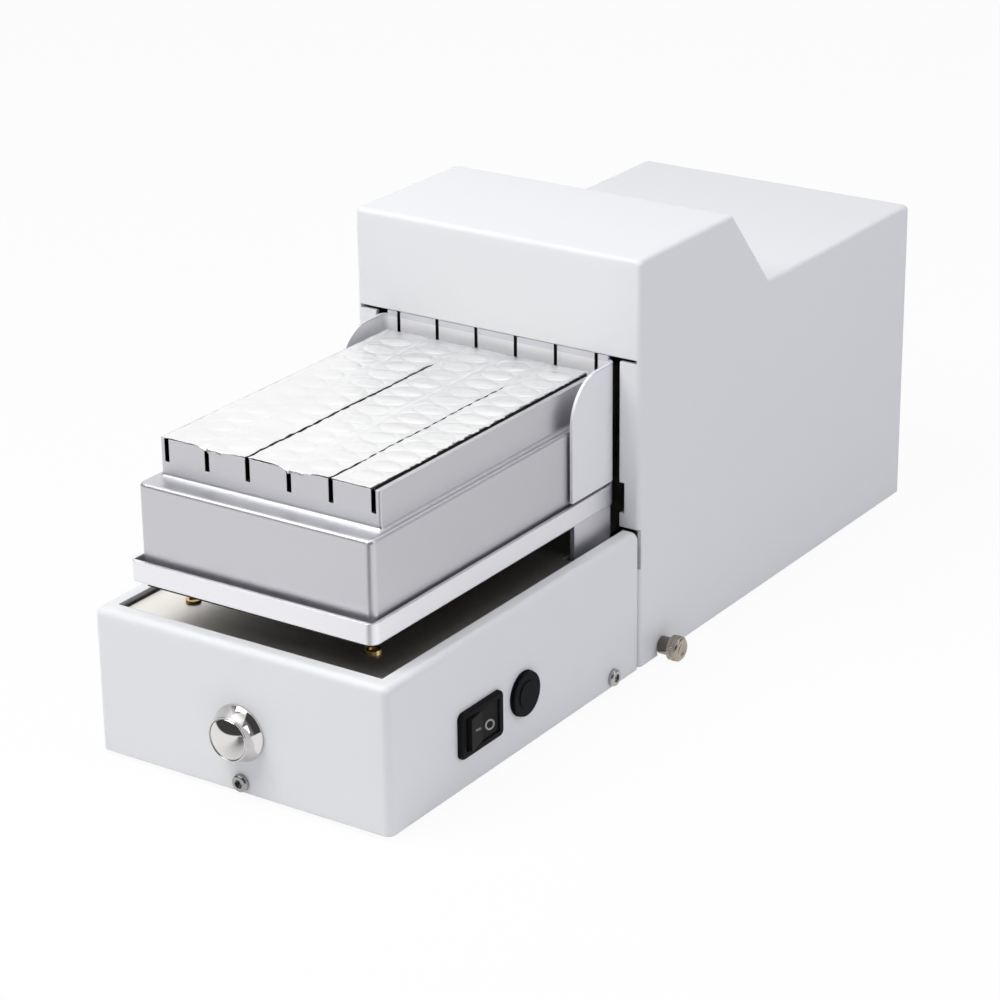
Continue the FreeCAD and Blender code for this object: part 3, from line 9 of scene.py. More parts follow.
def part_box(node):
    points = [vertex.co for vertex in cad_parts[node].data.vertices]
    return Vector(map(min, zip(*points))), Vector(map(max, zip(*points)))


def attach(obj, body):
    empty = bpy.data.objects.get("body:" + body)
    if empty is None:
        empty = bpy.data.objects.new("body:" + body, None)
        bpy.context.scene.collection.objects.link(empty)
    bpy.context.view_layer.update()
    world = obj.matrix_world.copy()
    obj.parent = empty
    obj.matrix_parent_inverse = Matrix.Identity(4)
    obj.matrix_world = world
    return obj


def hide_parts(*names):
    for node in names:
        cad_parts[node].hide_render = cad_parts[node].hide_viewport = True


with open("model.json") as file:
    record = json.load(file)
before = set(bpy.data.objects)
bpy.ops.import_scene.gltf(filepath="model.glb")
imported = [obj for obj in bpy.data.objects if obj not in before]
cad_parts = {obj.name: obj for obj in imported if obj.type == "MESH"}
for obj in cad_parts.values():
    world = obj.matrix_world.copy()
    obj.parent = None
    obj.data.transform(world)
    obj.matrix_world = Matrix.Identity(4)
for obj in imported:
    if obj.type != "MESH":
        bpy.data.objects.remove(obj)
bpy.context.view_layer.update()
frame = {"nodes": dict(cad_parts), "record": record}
nodes = frame["nodes"]

MM = 0.001
FULL_TURN = 2 * math.pi


def low(node):
    """Lowest corner of a solid, in millimetres."""
    return np.array(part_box(node)[0]) / MM


def high(node):
    """Highest corner of a solid, in millimetres."""
    return np.array(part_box(node)[1]) / MM


def middle(node):
    """Middle of a solid's box, in millimetres."""
    return (low(node) + high(node)) / 2


FRONT = low("base_cover")[1]


# Meshes

def grid_faces(rows, columns, around=False):
    """Quads of a grid of points; around joins the last column to the first."""
    row = np.arange(rows - 1)[:, None]
    column = np.arange(columns if around else columns - 1)[None, :]
    following = (column + 1) % columns
    corner = row * columns + column
    beside = row * columns + following
    quads = np.stack([corner, beside, beside + columns, corner + columns], axis=-1)
    return quads.reshape(-1, 4)


def mesh_piece(name, points, faces, smooth=True):
    """A piece from points in millimetres, with its place in its mesh."""
    data = bpy.data.meshes.new(name)
    data.from_pydata((np.asarray(points) * MM).tolist(), [], [list(face) for face in faces])
    data.validate()
    data.update()
    if smooth:
        data.polygons.foreach_set("use_smooth", np.ones(len(data.polygons), dtype=bool))
    piece = bpy.data.objects.new(name, data)
    bpy.context.scene.collection.objects.link(piece)
    return piece


def turned(name, profile, start, axis, side, segments=96, ripple=None):
    """A closed turned piece: each profile point (reach, radius) goes round an axis through start.

    Point = start + axis * reach + radius * (side * cos angle + third * sin angle).
    The profile starts and ends on the axis, and ripple may change the radius by reach and angle.
    """
    reach, radius = np.asarray(profile, float).T
    angle = np.linspace(0, FULL_TURN, segments, endpoint=False)
    axis = np.asarray(axis, float)
    side = np.asarray(side, float)
    third = np.cross(axis, side)
    rings = np.repeat(radius[:, None], segments, axis=1)
    if ripple is not None:
        rings = rings + ripple(reach[:, None], angle[None, :])
    ray = side * np.cos(angle)[:, None] + third * np.sin(angle)[:, None]
    points = np.asarray(start) + axis * reach[:, None, None] + rings[:, :, None] * ray[None]
    inner = points[1:-1].reshape(-1, 3)
    faces = grid_faces(len(reach) - 2, segments, around=True).tolist()
    first = len(inner)
    last = first + 1
    base = (len(reach) - 3) * segments
    for spot in range(segments):
        following = (spot + 1) % segments
        faces.append([first, following, spot])
        faces.append([last, base + spot, base + following])
    ends = np.stack([points[0, 0], points[-1, 0]])
    return mesh_piece(name, np.vstack([inner, ends]), faces)


def sheet_solid(name, top, under):
    """A closed thin sheet from its upper and lower grids of points."""
    rows, columns = top.shape[:2]
    count = rows * columns
    upper = grid_faces(rows, columns)
    lower = upper[:, ::-1] + count
    index = np.arange(count).reshape(rows, columns)
    rim = np.concatenate([index[0, :-1], index[:-1, -1], index[-1, :0:-1], index[:0:-1, 0]])
    onward = np.roll(rim, -1)
    band = np.stack([onward, rim, rim + count, onward + count], axis=1)
    points = np.concatenate([top.reshape(-1, 3), under.reshape(-1, 3)])
    return mesh_piece(name, points, np.concatenate([upper, lower, band]).tolist())


# Node groups shared by the finishes

EDGE_SAMPLES = 4
SLOT_PITCH = 15.05
SLOT_WIDTH = 1.6
SLOT_DEPTH = 7.3
SLOT_MARGIN = 0.03
# Painted shade: the colour put inside the knife slots, where they lie in shade.
SLOT_PAINTED_SHADE = (0.05, 0.045, 0.04)
FENCE_SLOT = 1.2
# Painted shadow: the front panel's shadow on the fence, a band this high along its top, in this colour.
FENCE_BAND = 2.0
FENCE_PAINTED_SHADOW = (0.70, 0.69, 0.74)
UPPER_TOP = high("heat_block")[2]
FINE_DETAIL = 3.0
BROAD_DETAIL = 2.0


def new_group(name, inputs, outputs):
    """An empty shader node group with named sockets."""
    tree = bpy.data.node_groups.new(name, "ShaderNodeTree")
    for socket, kind in inputs:
        tree.interface.new_socket(name=socket, in_out="INPUT", socket_type=kind)
    for socket, kind in outputs:
        tree.interface.new_socket(name=socket, in_out="OUTPUT", socket_type=kind)
    return tree, tree.nodes.new("NodeGroupInput"), tree.nodes.new("NodeGroupOutput")


def math_node(tree, operation, first, second):
    """One calculation on two values or sockets."""
    node = tree.nodes.new("ShaderNodeMath")
    node.operation = operation
    for slot, value in zip(node.inputs, (first, second)):
        if isinstance(value, bpy.types.NodeSocket):
            tree.links.new(value, slot)
        else:
            slot.default_value = value
    return node.outputs[0]


def noise_node(tree, vector, scale, detail):
    """A noise texture driven by a vector."""
    node = tree.nodes.new("ShaderNodeTexNoise")
    tree.links.new(vector, node.inputs["Vector"])
    if isinstance(scale, bpy.types.NodeSocket):
        tree.links.new(scale, node.inputs["Scale"])
    else:
        node.inputs["Scale"].default_value = scale
    node.inputs["Detail"].default_value = detail
    return node.outputs["Fac"]


def grain_group():
    """Fine grain and broad drift: Height is the fine noise, Drift the slow change about zero."""
    tree, inlet, outlet = new_group(
        "surface_grain",
        [("Vector", "NodeSocketVector"), ("Fine", "NodeSocketFloat"), ("Broad", "NodeSocketFloat")],
        [("Height", "NodeSocketFloat"), ("Drift", "NodeSocketFloat")],
    )
    fine = noise_node(tree, inlet.outputs["Vector"], inlet.outputs["Fine"], FINE_DETAIL)
    broad = noise_node(tree, inlet.outputs["Vector"], inlet.outputs["Broad"], BROAD_DETAIL)
    tree.links.new(fine, outlet.inputs["Height"])
    tree.links.new(math_node(tree, "SUBTRACT", broad, 0.5), outlet.inputs["Drift"])
    return tree


def tint_group():
    """A colour made a little lighter or darker by a drift about zero."""
    tree, inlet, outlet = new_group(
        "tint_drift",
        [("Color", "NodeSocketColor"), ("Drift", "NodeSocketFloat"), ("Amount", "NodeSocketFloat")],
        [("Color", "NodeSocketColor")],
    )
    swing = math_node(tree, "MULTIPLY", inlet.outputs["Drift"], inlet.outputs["Amount"])
    factor = math_node(tree, "ADD", swing, 1.0)
    scale = tree.nodes.new("ShaderNodeVectorMath")
    scale.operation = "SCALE"
    tree.links.new(inlet.outputs["Color"], scale.inputs[0])
    tree.links.new(factor, scale.inputs["Scale"])
    tree.links.new(scale.outputs[0], outlet.inputs["Color"])
    return tree


def edge_group():
    """Softened edges: Normal is averaged over a small radius, Edge grows where it leaves the face."""
    tree, inlet, outlet = new_group(
        "soft_edge",
        [("Radius", "NodeSocketFloat"), ("Gain", "NodeSocketFloat")],
        [("Normal", "NodeSocketVector"), ("Edge", "NodeSocketFloat")],
    )
    bevel = tree.nodes.new("ShaderNodeBevel")
    bevel.samples = EDGE_SAMPLES
    tree.links.new(inlet.outputs["Radius"], bevel.inputs["Radius"])
    face = tree.nodes.new("ShaderNodeNewGeometry")
    match = tree.nodes.new("ShaderNodeVectorMath")
    match.operation = "DOT_PRODUCT"
    tree.links.new(bevel.outputs["Normal"], match.inputs[0])
    tree.links.new(face.outputs["Normal"], match.inputs[1])
    turn = math_node(tree, "SUBTRACT", 1.0, match.outputs["Value"])
    edge = math_node(tree, "MULTIPLY", turn, inlet.outputs["Gain"])
    tree.links.new(bevel.outputs["Normal"], outlet.inputs["Normal"])
    tree.links.new(math_node(tree, "MINIMUM", edge, 1.0), outlet.inputs["Edge"])
    return tree


def slot_group():
    """One inside the knife slots: near a slot's middle across, and above the slots' floor."""
    tree, inlet, outlet = new_group(
        "slot_inside",
        [("Vector", "NodeSocketVector"), ("Floor", "NodeSocketFloat"), ("Half", "NodeSocketFloat")],
        [("Mask", "NodeSocketFloat")],
    )
    split = tree.nodes.new("ShaderNodeSeparateXYZ")
    tree.links.new(inlet.outputs["Vector"], split.inputs["Vector"])
    pitches = math_node(tree, "DIVIDE", split.outputs["X"], SLOT_PITCH * MM)
    away = math_node(tree, "PINGPONG", math_node(tree, "SUBTRACT", pitches, 0.5), 0.5)
    across = math_node(tree, "LESS_THAN", away, inlet.outputs["Half"])
    above = math_node(tree, "GREATER_THAN", split.outputs["Z"], inlet.outputs["Floor"])
    tree.links.new(math_node(tree, "MULTIPLY", across, above), outlet.inputs["Mask"])
    return tree


GRAIN = grain_group()
TINT = tint_group()
EDGE = edge_group()
SLOT_INSIDE = slot_group()


def place_group(tree, group, **values):
    """A node group in a material, with its plain values set."""
    node = tree.nodes.new("ShaderNodeGroup")
    node.node_tree = group
    for socket, value in values.items():
        node.inputs[socket].default_value = value
    return node


def mixed_color(tree, share, first, second):
    """The first colour, turning into the second where the share is one."""
    node = tree.nodes.new("ShaderNodeMix")
    node.data_type = "RGBA"
    tree.links.new(share, node.inputs["Factor"])
    for socket, value in zip([item for item in node.inputs if item.type == "RGBA"], (first, second)):
        if isinstance(value, bpy.types.NodeSocket):
            tree.links.new(value, socket)
        else:
            socket.default_value = (*value, 1.0)
    return next(item for item in node.outputs if item.type == "RGBA")


def slot_painted_shade(tree, vector, color, width=SLOT_WIDTH):
    """The colour with painted shade: dark inside the knife slots, where their walls and floor lie in
    shade.
    """
    floor = (UPPER_TOP - SLOT_DEPTH - SLOT_MARGIN) * MM
    half = (width / 2 + SLOT_MARGIN) / SLOT_PITCH
    node = place_group(tree, SLOT_INSIDE, Floor=floor, Half=half)
    tree.links.new(vector, node.inputs["Vector"])
    return mixed_color(tree, node.outputs["Mask"], color, SLOT_PAINTED_SHADE)


def fence_painted_shade(tree, vector, color):
    """The colour with a painted shadow of the front panel in a band along the top of the fence, and
    painted shade in its slots.
    """
    split = tree.nodes.new("ShaderNodeSeparateXYZ")
    tree.links.new(vector, split.inputs["Vector"])
    share = math_node(tree, "GREATER_THAN", split.outputs["Z"], (high("fence")[2] - FENCE_BAND) * MM)
    shadowed = mixed_color(tree, share, color, FENCE_PAINTED_SHADOW)
    return slot_painted_shade(tree, vector, shadowed, FENCE_SLOT)


EDGE_GAIN = 2.0
ALONG_Y = (1.0, 0.02, 1.0)
ALONG_X = (0.02, 1.0, 1.0)


def finish_material(
    name, color, roughness, metallic=0.0, fine=900.0, broad=14.0, bump=0.05, depth=0.0001,
    stretch=(1.0, 1.0, 1.0), tint=0.06, gloss_drift=0.12, transmission=0.0, specular=0.5,
    soften=0.0, edge_highlight_paint=None, painted_shade=None,
):
    """A finish with grain in its bump, a slow drift in its colour and gloss, and edges lightened by a
    painted highlight.

    The painted highlight colour shows where the softened normal turns, and a shade function may darken
    the colour by place with painted shade.
    """
    material = bpy.data.materials.new(name)
    material.use_nodes = True
    tree = material.node_tree
    shader = tree.nodes["Principled BSDF"]
    place = tree.nodes.new("ShaderNodeTexCoord")
    mapping = tree.nodes.new("ShaderNodeMapping")
    mapping.inputs["Scale"].default_value = stretch
    tree.links.new(place.outputs["Object"], mapping.inputs["Vector"])
    grain = place_group(tree, GRAIN, Fine=fine, Broad=broad)
    tree.links.new(mapping.outputs["Vector"], grain.inputs["Vector"])
    tone = place_group(tree, TINT, Color=(*color, 1.0), Amount=tint)
    ridge = tree.nodes.new("ShaderNodeBump")
    # Painted shade: the shade function darkens the colour inside the slots and along the top of the
    # fence.
    if painted_shade is not None:
        tree.links.new(painted_shade(tree, place.outputs["Object"], color), tone.inputs["Color"])
    tree.links.new(grain.outputs["Drift"], tone.inputs["Drift"])
    surface = tone.outputs["Color"]
    if soften:
        edge = place_group(tree, EDGE, Radius=soften, Gain=EDGE_GAIN)
        tree.links.new(edge.outputs["Normal"], ridge.inputs["Normal"])
        # Painted highlight: a lighter colour where the softened normal turns at an edge.
        if edge_highlight_paint is not None:
            surface = mixed_color(tree, edge.outputs["Edge"], surface, edge_highlight_paint)
    tree.links.new(surface, shader.inputs["Base Color"])
    drift = math_node(tree, "MULTIPLY", grain.outputs["Drift"], gloss_drift)
    tree.links.new(math_node(tree, "ADD", drift, roughness), shader.inputs["Roughness"])
    ridge.inputs["Strength"].default_value = bump
    ridge.inputs["Distance"].default_value = depth
    tree.links.new(grain.outputs["Height"], ridge.inputs["Height"])
    tree.links.new(ridge.outputs["Normal"], shader.inputs["Normal"])
    shader.inputs["Metallic"].default_value = metallic
    shader.inputs["Specular IOR Level"].default_value = specular
    shader.inputs["Transmission Weight"].default_value = transmission
    return material


FINISHES = {
    "white_coat": finish_material(
        "white_powder_coat", (0.805, 0.812, 0.820), 0.42, fine=1500, bump=0.14, tint=0.03, soften=0.0005,
    ),
    # Fence: the band along its top is a painted shadow of the panel, and its slots hold painted shade.
    "fence_coat": finish_material(
        "fence_coat", (0.86, 0.86, 0.87), 0.42, fine=1500, bump=0.12, tint=0.03, painted_shade=fence_painted_shade,
    ),
    "plate_coat": finish_material("grey_plate_coat", (0.30, 0.31, 0.32), 0.5, bump=0.15),
    # Block: its lighter edges are a painted highlight, and the dark slot walls are painted shade.
    "block_aluminium": finish_material(
        "satin_block", (0.64, 0.64, 0.67), 0.40, 1.0, fine=2600, bump=0.16, tint=0.08, soften=0.0004,
        edge_highlight_paint=(0.80, 0.80, 0.82), painted_shade=slot_painted_shade,
    ),
    "tray_aluminium": finish_material(
        "satin_tray", (0.92, 0.92, 0.95), 0.40, 1.0, fine=2200, bump=0.14, tint=0.06, soften=0.0005,
    ),
    "deck_steel": finish_material(
        "deck_metal", (0.94, 0.91, 0.85), 0.34, 1.0, fine=1600, bump=0.05, stretch=ALONG_Y, tint=0.08,
    ),
    "bracket_aluminium": finish_material(
        "brushed_bracket", (0.76, 0.76, 0.79), 0.42, 1.0, fine=2200, bump=0.3, stretch=ALONG_Y, tint=0.10,
    ),
    "bright_steel": finish_material(
        "ground_steel", (0.66, 0.66, 0.67), 0.25, 1.0, fine=1500, stretch=ALONG_Y,
    ),
    "blade_steel": finish_material("blade_steel", (0.72, 0.73, 0.74), 0.16, 1.0, fine=1200),
    "structure": finish_material(
        "milled_aluminium", (0.62, 0.63, 0.64), 0.38, 1.0, fine=1400, stretch=ALONG_X,
    ),
    "chrome_trim": finish_material(
        "polished_chrome", (0.74, 0.72, 0.71), 0.06, 1.0, bump=0.01, tint=0.04, gloss_drift=0.04,
    ),
    # Thumbscrew: the lighter knurl tips and edges are a painted highlight.
    "nickel": finish_material(
        "worn_nickel", (0.38, 0.33, 0.28), 0.20, 1.0, fine=1100, bump=0.10, tint=0.5, soften=0.0002,
        edge_highlight_paint=(0.66, 0.62, 0.57),
    ),
    "screw_steel": finish_material(
        "bright_screw", (0.42, 0.41, 0.41), 0.20, 1.0, fine=1200, soften=0.0002,
    ),
    "brass": finish_material("plain_brass", (0.72, 0.52, 0.22), 0.28, 1.0, fine=1200, soften=0.0003),
    "black_plastic": finish_material(
        "black_moulding", (0.009, 0.009, 0.009), 0.6, fine=1800, bump=0.2, specular=0.06, soften=0.0003,
    ),
    "black_gloss": finish_material(
        "black_gloss", (0.012, 0.012, 0.012), 0.55, fine=1500, bump=0.06, specular=0.06, soften=0.0003,
    ),
    "fuse_black": finish_material(
        "fuse_black", (0.006, 0.007, 0.008), 0.5, fine=1500, bump=0.06, specular=0.05, soften=0.0003,
    ),
    "motor_black": finish_material("motor_black", (0.05, 0.05, 0.055), 0.45, fine=1200, bump=0.1),
    "insulation": finish_material(
        "heat_shield", (0.035, 0.026, 0.020), 0.8, fine=700, bump=0.4, specular=0.2,
    ),
    "heater": finish_material("heater_silicone", (0.62, 0.20, 0.06), 0.6, fine=900, bump=0.2),
    "black_rubber": finish_material("black_rubber", (0.03, 0.03, 0.03), 0.75, fine=900, bump=0.3),
    # Strips: the flange sides that form the upper slot walls get painted shade.
    "strip_plastic": finish_material(
        "milky_plastic", (0.82, 0.82, 0.80), 0.4, fine=700, painted_shade=slot_painted_shade,
    ),
    "foil": finish_material(
        "seal_foil", (0.91, 0.91, 0.91), 0.40, 1.0, fine=420, broad=60.0, bump=0.22, depth=0.0003,
        tint=0.08,
    ),
    "board_green": finish_material("circuit_board", (0.03, 0.20, 0.09), 0.4, fine=500, tint=0.3),
    "glass_fuse": finish_material("fuse_glass", (0.85, 0.88, 0.88), 0.08, transmission=1.0, bump=0.0),
    "supply_case": finish_material(
        "galvanised", (0.66, 0.67, 0.68), 0.4, 1.0, fine=300, broad=60.0, tint=0.2,
    ),
    "mark_white": finish_material("printed_ring", (0.34, 0.34, 0.34), 0.5, bump=0.05),
    "mark_dim": finish_material("printed_bar", (0.12, 0.12, 0.12), 0.5, bump=0.05),
}


def dress(piece, finish):
    """Give a piece one finish and nothing else."""
    piece.data.materials.clear()
    piece.data.materials.append(FINISHES[finish])


for entry in frame["record"]["subparts"]:
    dress(nodes[entry["node"]], entry["material_slot"])
dress(nodes["fence"], "fence_coat")
dress(nodes["fuse_cap"], "fuse_black")
dress(nodes["fuse_holder"], "fuse_black")


def add_piece(piece, finish, body, *replaced):
    """Dress a new piece, let it ride on a body and stand for solids."""
    dress(piece, finish)
    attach(piece, body)
    if replaced:
        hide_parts(*replaced)
    return piece


# Foil

STRIP_MIDDLES = SLOT_PITCH * np.arange(-2, 3)
SLOT_PLACES = SLOT_PITCH * np.arange(-2.5, 3)
WELL_PITCH = 9.0
WELL_COUNT = 12
FOIL_FRONT = low("foil_left")[1]
FOIL_REAR = high("foil_left")[1]
FOIL_THICK = 0.12
WELL_START = 7.0
FIRST_WELL = FOIL_FRONT + WELL_START
FLAP_SLOTS = SLOT_PLACES[[1, 3]]
CREASE_SLOTS = SLOT_PLACES[[0, 1, 3]]
FOIL_REST = 0.40
WELL_ACROSS = 5.0
WELL_ALONG = 3.7
LENS_RISE = 0.33
LENS_SPREAD = 0.88
GROOVE_DEPTH = 0.17
GROOVE_PLACE = 1.12
GROOVE_WIDTH = 0.13
TILT_RISE = 0.10
TILT_TURN = 1.7
VALLEY_DEPTH = 0.30
VALLEY_WIDTH = 0.55

# Waves that crumple the foil: height, rate across, rate along, and phase
CRUMPLE_WAVES = (
    (0.10, 0.31, 0.17, 0.0), (0.08, -0.21, 0.83, 1.0), (0.03, 1.9, 0.9, 2.0), (0.02, -1.3, 2.7, 0.0),
)

# Waves of a ragged cut: share of its size, rate along it, and times its phase
RAGGED_WAVES = ((1.0, 0.9, 1), (0.8, 2.3, 2), (0.6, 5.3, 3))
CLOSE_RUN = 3.0
ENTRY_RUN = 17.0
ENTRY_GAPE = 0.72
ENTRY_CALM = 0.75
CUT_SEAM = 0.03
GAPE_WAVE = 1.4
OPEN_END = 200.0

# Cuts: raggedness, share of the gap that gapes, and where they end behind the front
OUTER_EDGE = (0.02, 1.0, OPEN_END)
LONG_CUT = (0.09, 0.85, 110.5)
FAINT_CUT = (0.04, 0.42, 105.0)
RAGGED_CUT = (0.28, 1.0, OPEN_END)
LEFT_PHASE = 0.4
RIGHT_PHASE = 1.9

# Free front edge: how far back it curls, its flaps beside two slots, and its fold
CURL_RUN = 2.5
CURL_RISE = 0.10
FLAP_SINK = 0.35
FLAP_SHIFT = 3.0
FLAP_REACH = 5.0
FLAP_LENGTH = 0.95
FLAP_WAVES = ((0.35, 1.7, 0.0), (0.25, 4.1, 1.0))
EDGE_LENGTH = 0.15
FOLD_BEND = 0.4
FOLD_ANGLE = 1.25
EDGE_ANGLE = 0.05
FLAT_ROWS = 260
FOLD_ROWS = 12
FOIL_COLUMNS = 80


def near(distance, width):
    """Bell curve: one at no distance, falling off over the width."""
    return np.exp(-((distance / width) ** 2))


def foil_height(x, y):
    """Height of the pressed foil above the block.

    Each well has a lens raised by a flattened bell of its oval distance and a groove round it.
    Uncut slots are shallow valleys, and four slow waves crumple the whole sheet.
    """
    strip = STRIP_MIDDLES[np.abs(x[..., None] - STRIP_MIDDLES).argmin(axis=-1)]
    well = np.clip(np.round((y - FIRST_WELL) / WELL_PITCH), 0, WELL_COUNT - 1)
    across = (x - strip) / WELL_ACROSS
    along = (y - FIRST_WELL - WELL_PITCH * well) / WELL_ALONG
    oval = np.hypot(across, along)
    lens = LENS_RISE * np.exp(-((oval / LENS_SPREAD) ** 4))
    groove = -GROOVE_DEPTH * near(oval - GROOVE_PLACE, GROOVE_WIDTH)
    tilt = TILT_RISE * across * np.sin(TILT_TURN * well + strip) * np.exp(-(oval ** 2))
    valley = -VALLEY_DEPTH * near(x[..., None] - CREASE_SLOTS, VALLEY_WIDTH).sum(axis=-1)
    waves = sum(
        height * np.sin(rate_across * x + rate_along * y + phase)
        for height, rate_across, rate_along, phase in CRUMPLE_WAVES
    )
    return FOIL_REST + lens + groove + tilt + valley + waves


def wander(y, size, phase):
    """Ragged line of a cut: a sum of three sines of the place along it."""
    waves = (share * np.sin(rate * y + times * phase) for share, rate, times in RAGGED_WAVES)
    return size * sum(waves)


def cut_edge(y, place, side, phase, cut):
    """Cut edge of a sheet: it wanders, gapes more and less along its way, and closes past its end.

    At the front, where the knife enters, it stays open for the knife.
    """
    rag, gape, end = cut
    slot = SLOT_PLACES[np.abs(SLOT_PLACES - place).argmin()]
    swell = gape * (1 + (1 - gape) * np.sin(GAPE_WAVE * y))
    entry = np.clip((FOIL_FRONT + ENTRY_RUN - y) / CLOSE_RUN, 0, 1)
    swell = np.maximum(swell, ENTRY_GAPE * entry)
    edge = slot + (place - slot) * swell + wander(y, rag, phase) * (1 - ENTRY_CALM * entry)
    shut = np.clip((y - FRONT - end) / CLOSE_RUN, 0, 1)
    return edge + (slot + side * CUT_SEAM - edge) * shut


def foil_sheet(name, node, left_cut, right_cut):
    """One sheet of foil: a grid over the block whose front edge curls or folds over as a flap.

    Columns run between the two cut edges.
    Rows run from the free front edge back; a fold goes round a small arc and then straight down.
    """
    y_flat = np.linspace(FOIL_FRONT, FOIL_REAR, FLAT_ROWS)
    share = np.linspace(0, 1, FOIL_COLUMNS)
    start = cut_edge(y_flat, low(node)[0], 1, LEFT_PHASE, left_cut)
    end = cut_edge(y_flat, high(node)[0], -1, RIGHT_PHASE, right_cut)
    x = start[:, None] + (end - start)[:, None] * share
    y = np.repeat(y_flat[:, None], FOIL_COLUMNS, axis=1)
    lift = foil_height(x, y)
    ahead = np.clip((FOIL_FRONT + CURL_RUN - y) / CURL_RUN, 0, 1)
    right_of = x[:1, :, None] - FLAP_SLOTS - FLAP_SHIFT
    flap = np.exp(-np.abs(right_of / FLAP_REACH) ** 3).sum(axis=-1)
    ripple = 1 + sum(height * np.sin(rate * x[:1] + phase) for height, rate, phase in FLAP_WAVES)
    lift = lift + ahead ** 2 * (CURL_RISE - FLAP_SINK * flap)
    z = UPPER_TOP + lift
    length = EDGE_LENGTH + (FLAP_LENGTH * flap * ripple)[0]
    run = np.linspace(1, 0, FOLD_ROWS, endpoint=False)[:, None] * length
    angle = np.minimum(run / FOLD_BEND, FOLD_ANGLE * flap[0] + EDGE_ANGLE)
    rest = run - angle * FOLD_BEND
    fold_y = FOIL_FRONT - FOLD_BEND * np.sin(angle) - rest * np.cos(angle)
    fold_z = z[0] - FOLD_BEND * (1 - np.cos(angle)) - rest * np.sin(angle)
    fold_x = np.repeat(x[:1], FOLD_ROWS, axis=0)
    top = np.stack([np.vstack([fold_x, x]), np.vstack([fold_y, y]), np.vstack([fold_z, z])], axis=-1)
    step_along = np.gradient(top, axis=0)
    step_across = np.gradient(top, axis=1)
    normal = np.cross(step_across, step_along)
    normal = normal / np.linalg.norm(normal, axis=-1, keepdims=True)
    under = top - FOIL_THICK * normal
    piece = sheet_solid(name, top, under)
    return add_piece(piece, "foil", "carriage", node)


foil_sheet("pressed_foil_left", "foil_left", OUTER_EDGE, LONG_CUT)
foil_sheet("pressed_foil_middle", "foil_middle", LONG_CUT, FAINT_CUT)
foil_sheet("pressed_foil_right", "foil_right", FAINT_CUT, RAGGED_CUT)


# Push button

BUTTON = middle("button_bezel")
FORWARD = (0, -1, 0)
RIGHT = (1, 0, 0)
BUTTON_START = (BUTTON[0], FRONT, BUTTON[2])
CAP_REACH = FRONT - low("button_cap")[1]
CAP_CROWN = 2.2
CAP_RADIUS = 6.55
FLANGE_RADIUS = high("button_bezel")[0]
NOSE_REACH = FRONT - low("button_bezel")[1]
NOSE_ROLL = 0.25
NOSE_STEPS = 13
WELL_FLOOR = 0.3
CAP_GAP = 0.08
BORE_RADIUS = CAP_RADIUS + CAP_GAP
BARREL_REACH = 13.9
BARREL_RADIUS = 7.8
FLANGE_THICK = 0.7
FLANGE_BEVEL = 0.25
CAP_BACK = 2.3
DOME_RINGS = 18


def button_bezel():
    """Turned bezel: a thin flange, a straight taper, a rolled nose and a bore behind it."""
    nose = np.linspace(0, math.pi, NOSE_STEPS)
    reach = NOSE_REACH - NOSE_ROLL + NOSE_ROLL * np.sin(nose)
    roll = np.stack([reach, BORE_RADIUS + NOSE_ROLL + NOSE_ROLL * np.cos(nose)], axis=1)
    bevel = (FLANGE_THICK + FLANGE_BEVEL, FLANGE_RADIUS - FLANGE_BEVEL)
    rim = [(0, FLANGE_RADIUS), (FLANGE_THICK, FLANGE_RADIUS), bevel]
    profile = [(-BARREL_REACH, 0), (-BARREL_REACH, BARREL_RADIUS), (0, BARREL_RADIUS)] + rim
    profile = np.vstack([profile, roll, [(WELL_FLOOR, BORE_RADIUS), (WELL_FLOOR, 0)]])
    piece = turned("turned_bezel", profile, BUTTON_START, FORWARD, RIGHT)
    add_piece(piece, "chrome_trim", "chassis", "button_bezel")


def button_cap():
    """Turned cap: a shallow dome whose height falls with the square of the radius."""
    radius = np.linspace(CAP_RADIUS, 0, DOME_RINGS)
    dome = np.stack([CAP_REACH - CAP_CROWN * (radius / CAP_RADIUS) ** 2, radius], axis=1)
    profile = np.vstack([[(CAP_BACK, 0), (CAP_BACK, CAP_RADIUS)], dome])
    piece = turned("domed_cap", profile, BUTTON_START, FORWARD, RIGHT)
    add_piece(piece, "chrome_trim", "button", "button_cap")


button_bezel()
button_cap()


# Thumbscrews

KNURLS = 34
KNURL_DEPTH = 0.16
KNURL_LEAN = 1.5
KNURL_MARGIN = 0.7
NECK_REACH = 3.6
NECK_RADIUS = 3.0
NECK_GAP = 0.3
SHANK_REACH = 8.6
SHANK_RADIUS = 1.9
HEAD_SKIN = 0.1
HEAD_BEVEL = 0.7
HEAD_MARGIN = 0.6
HEAD_RINGS = 24
DISH_RADIUS = 2.2
DISH_DEPTH = 0.3
SCREW_SEGMENTS = 204


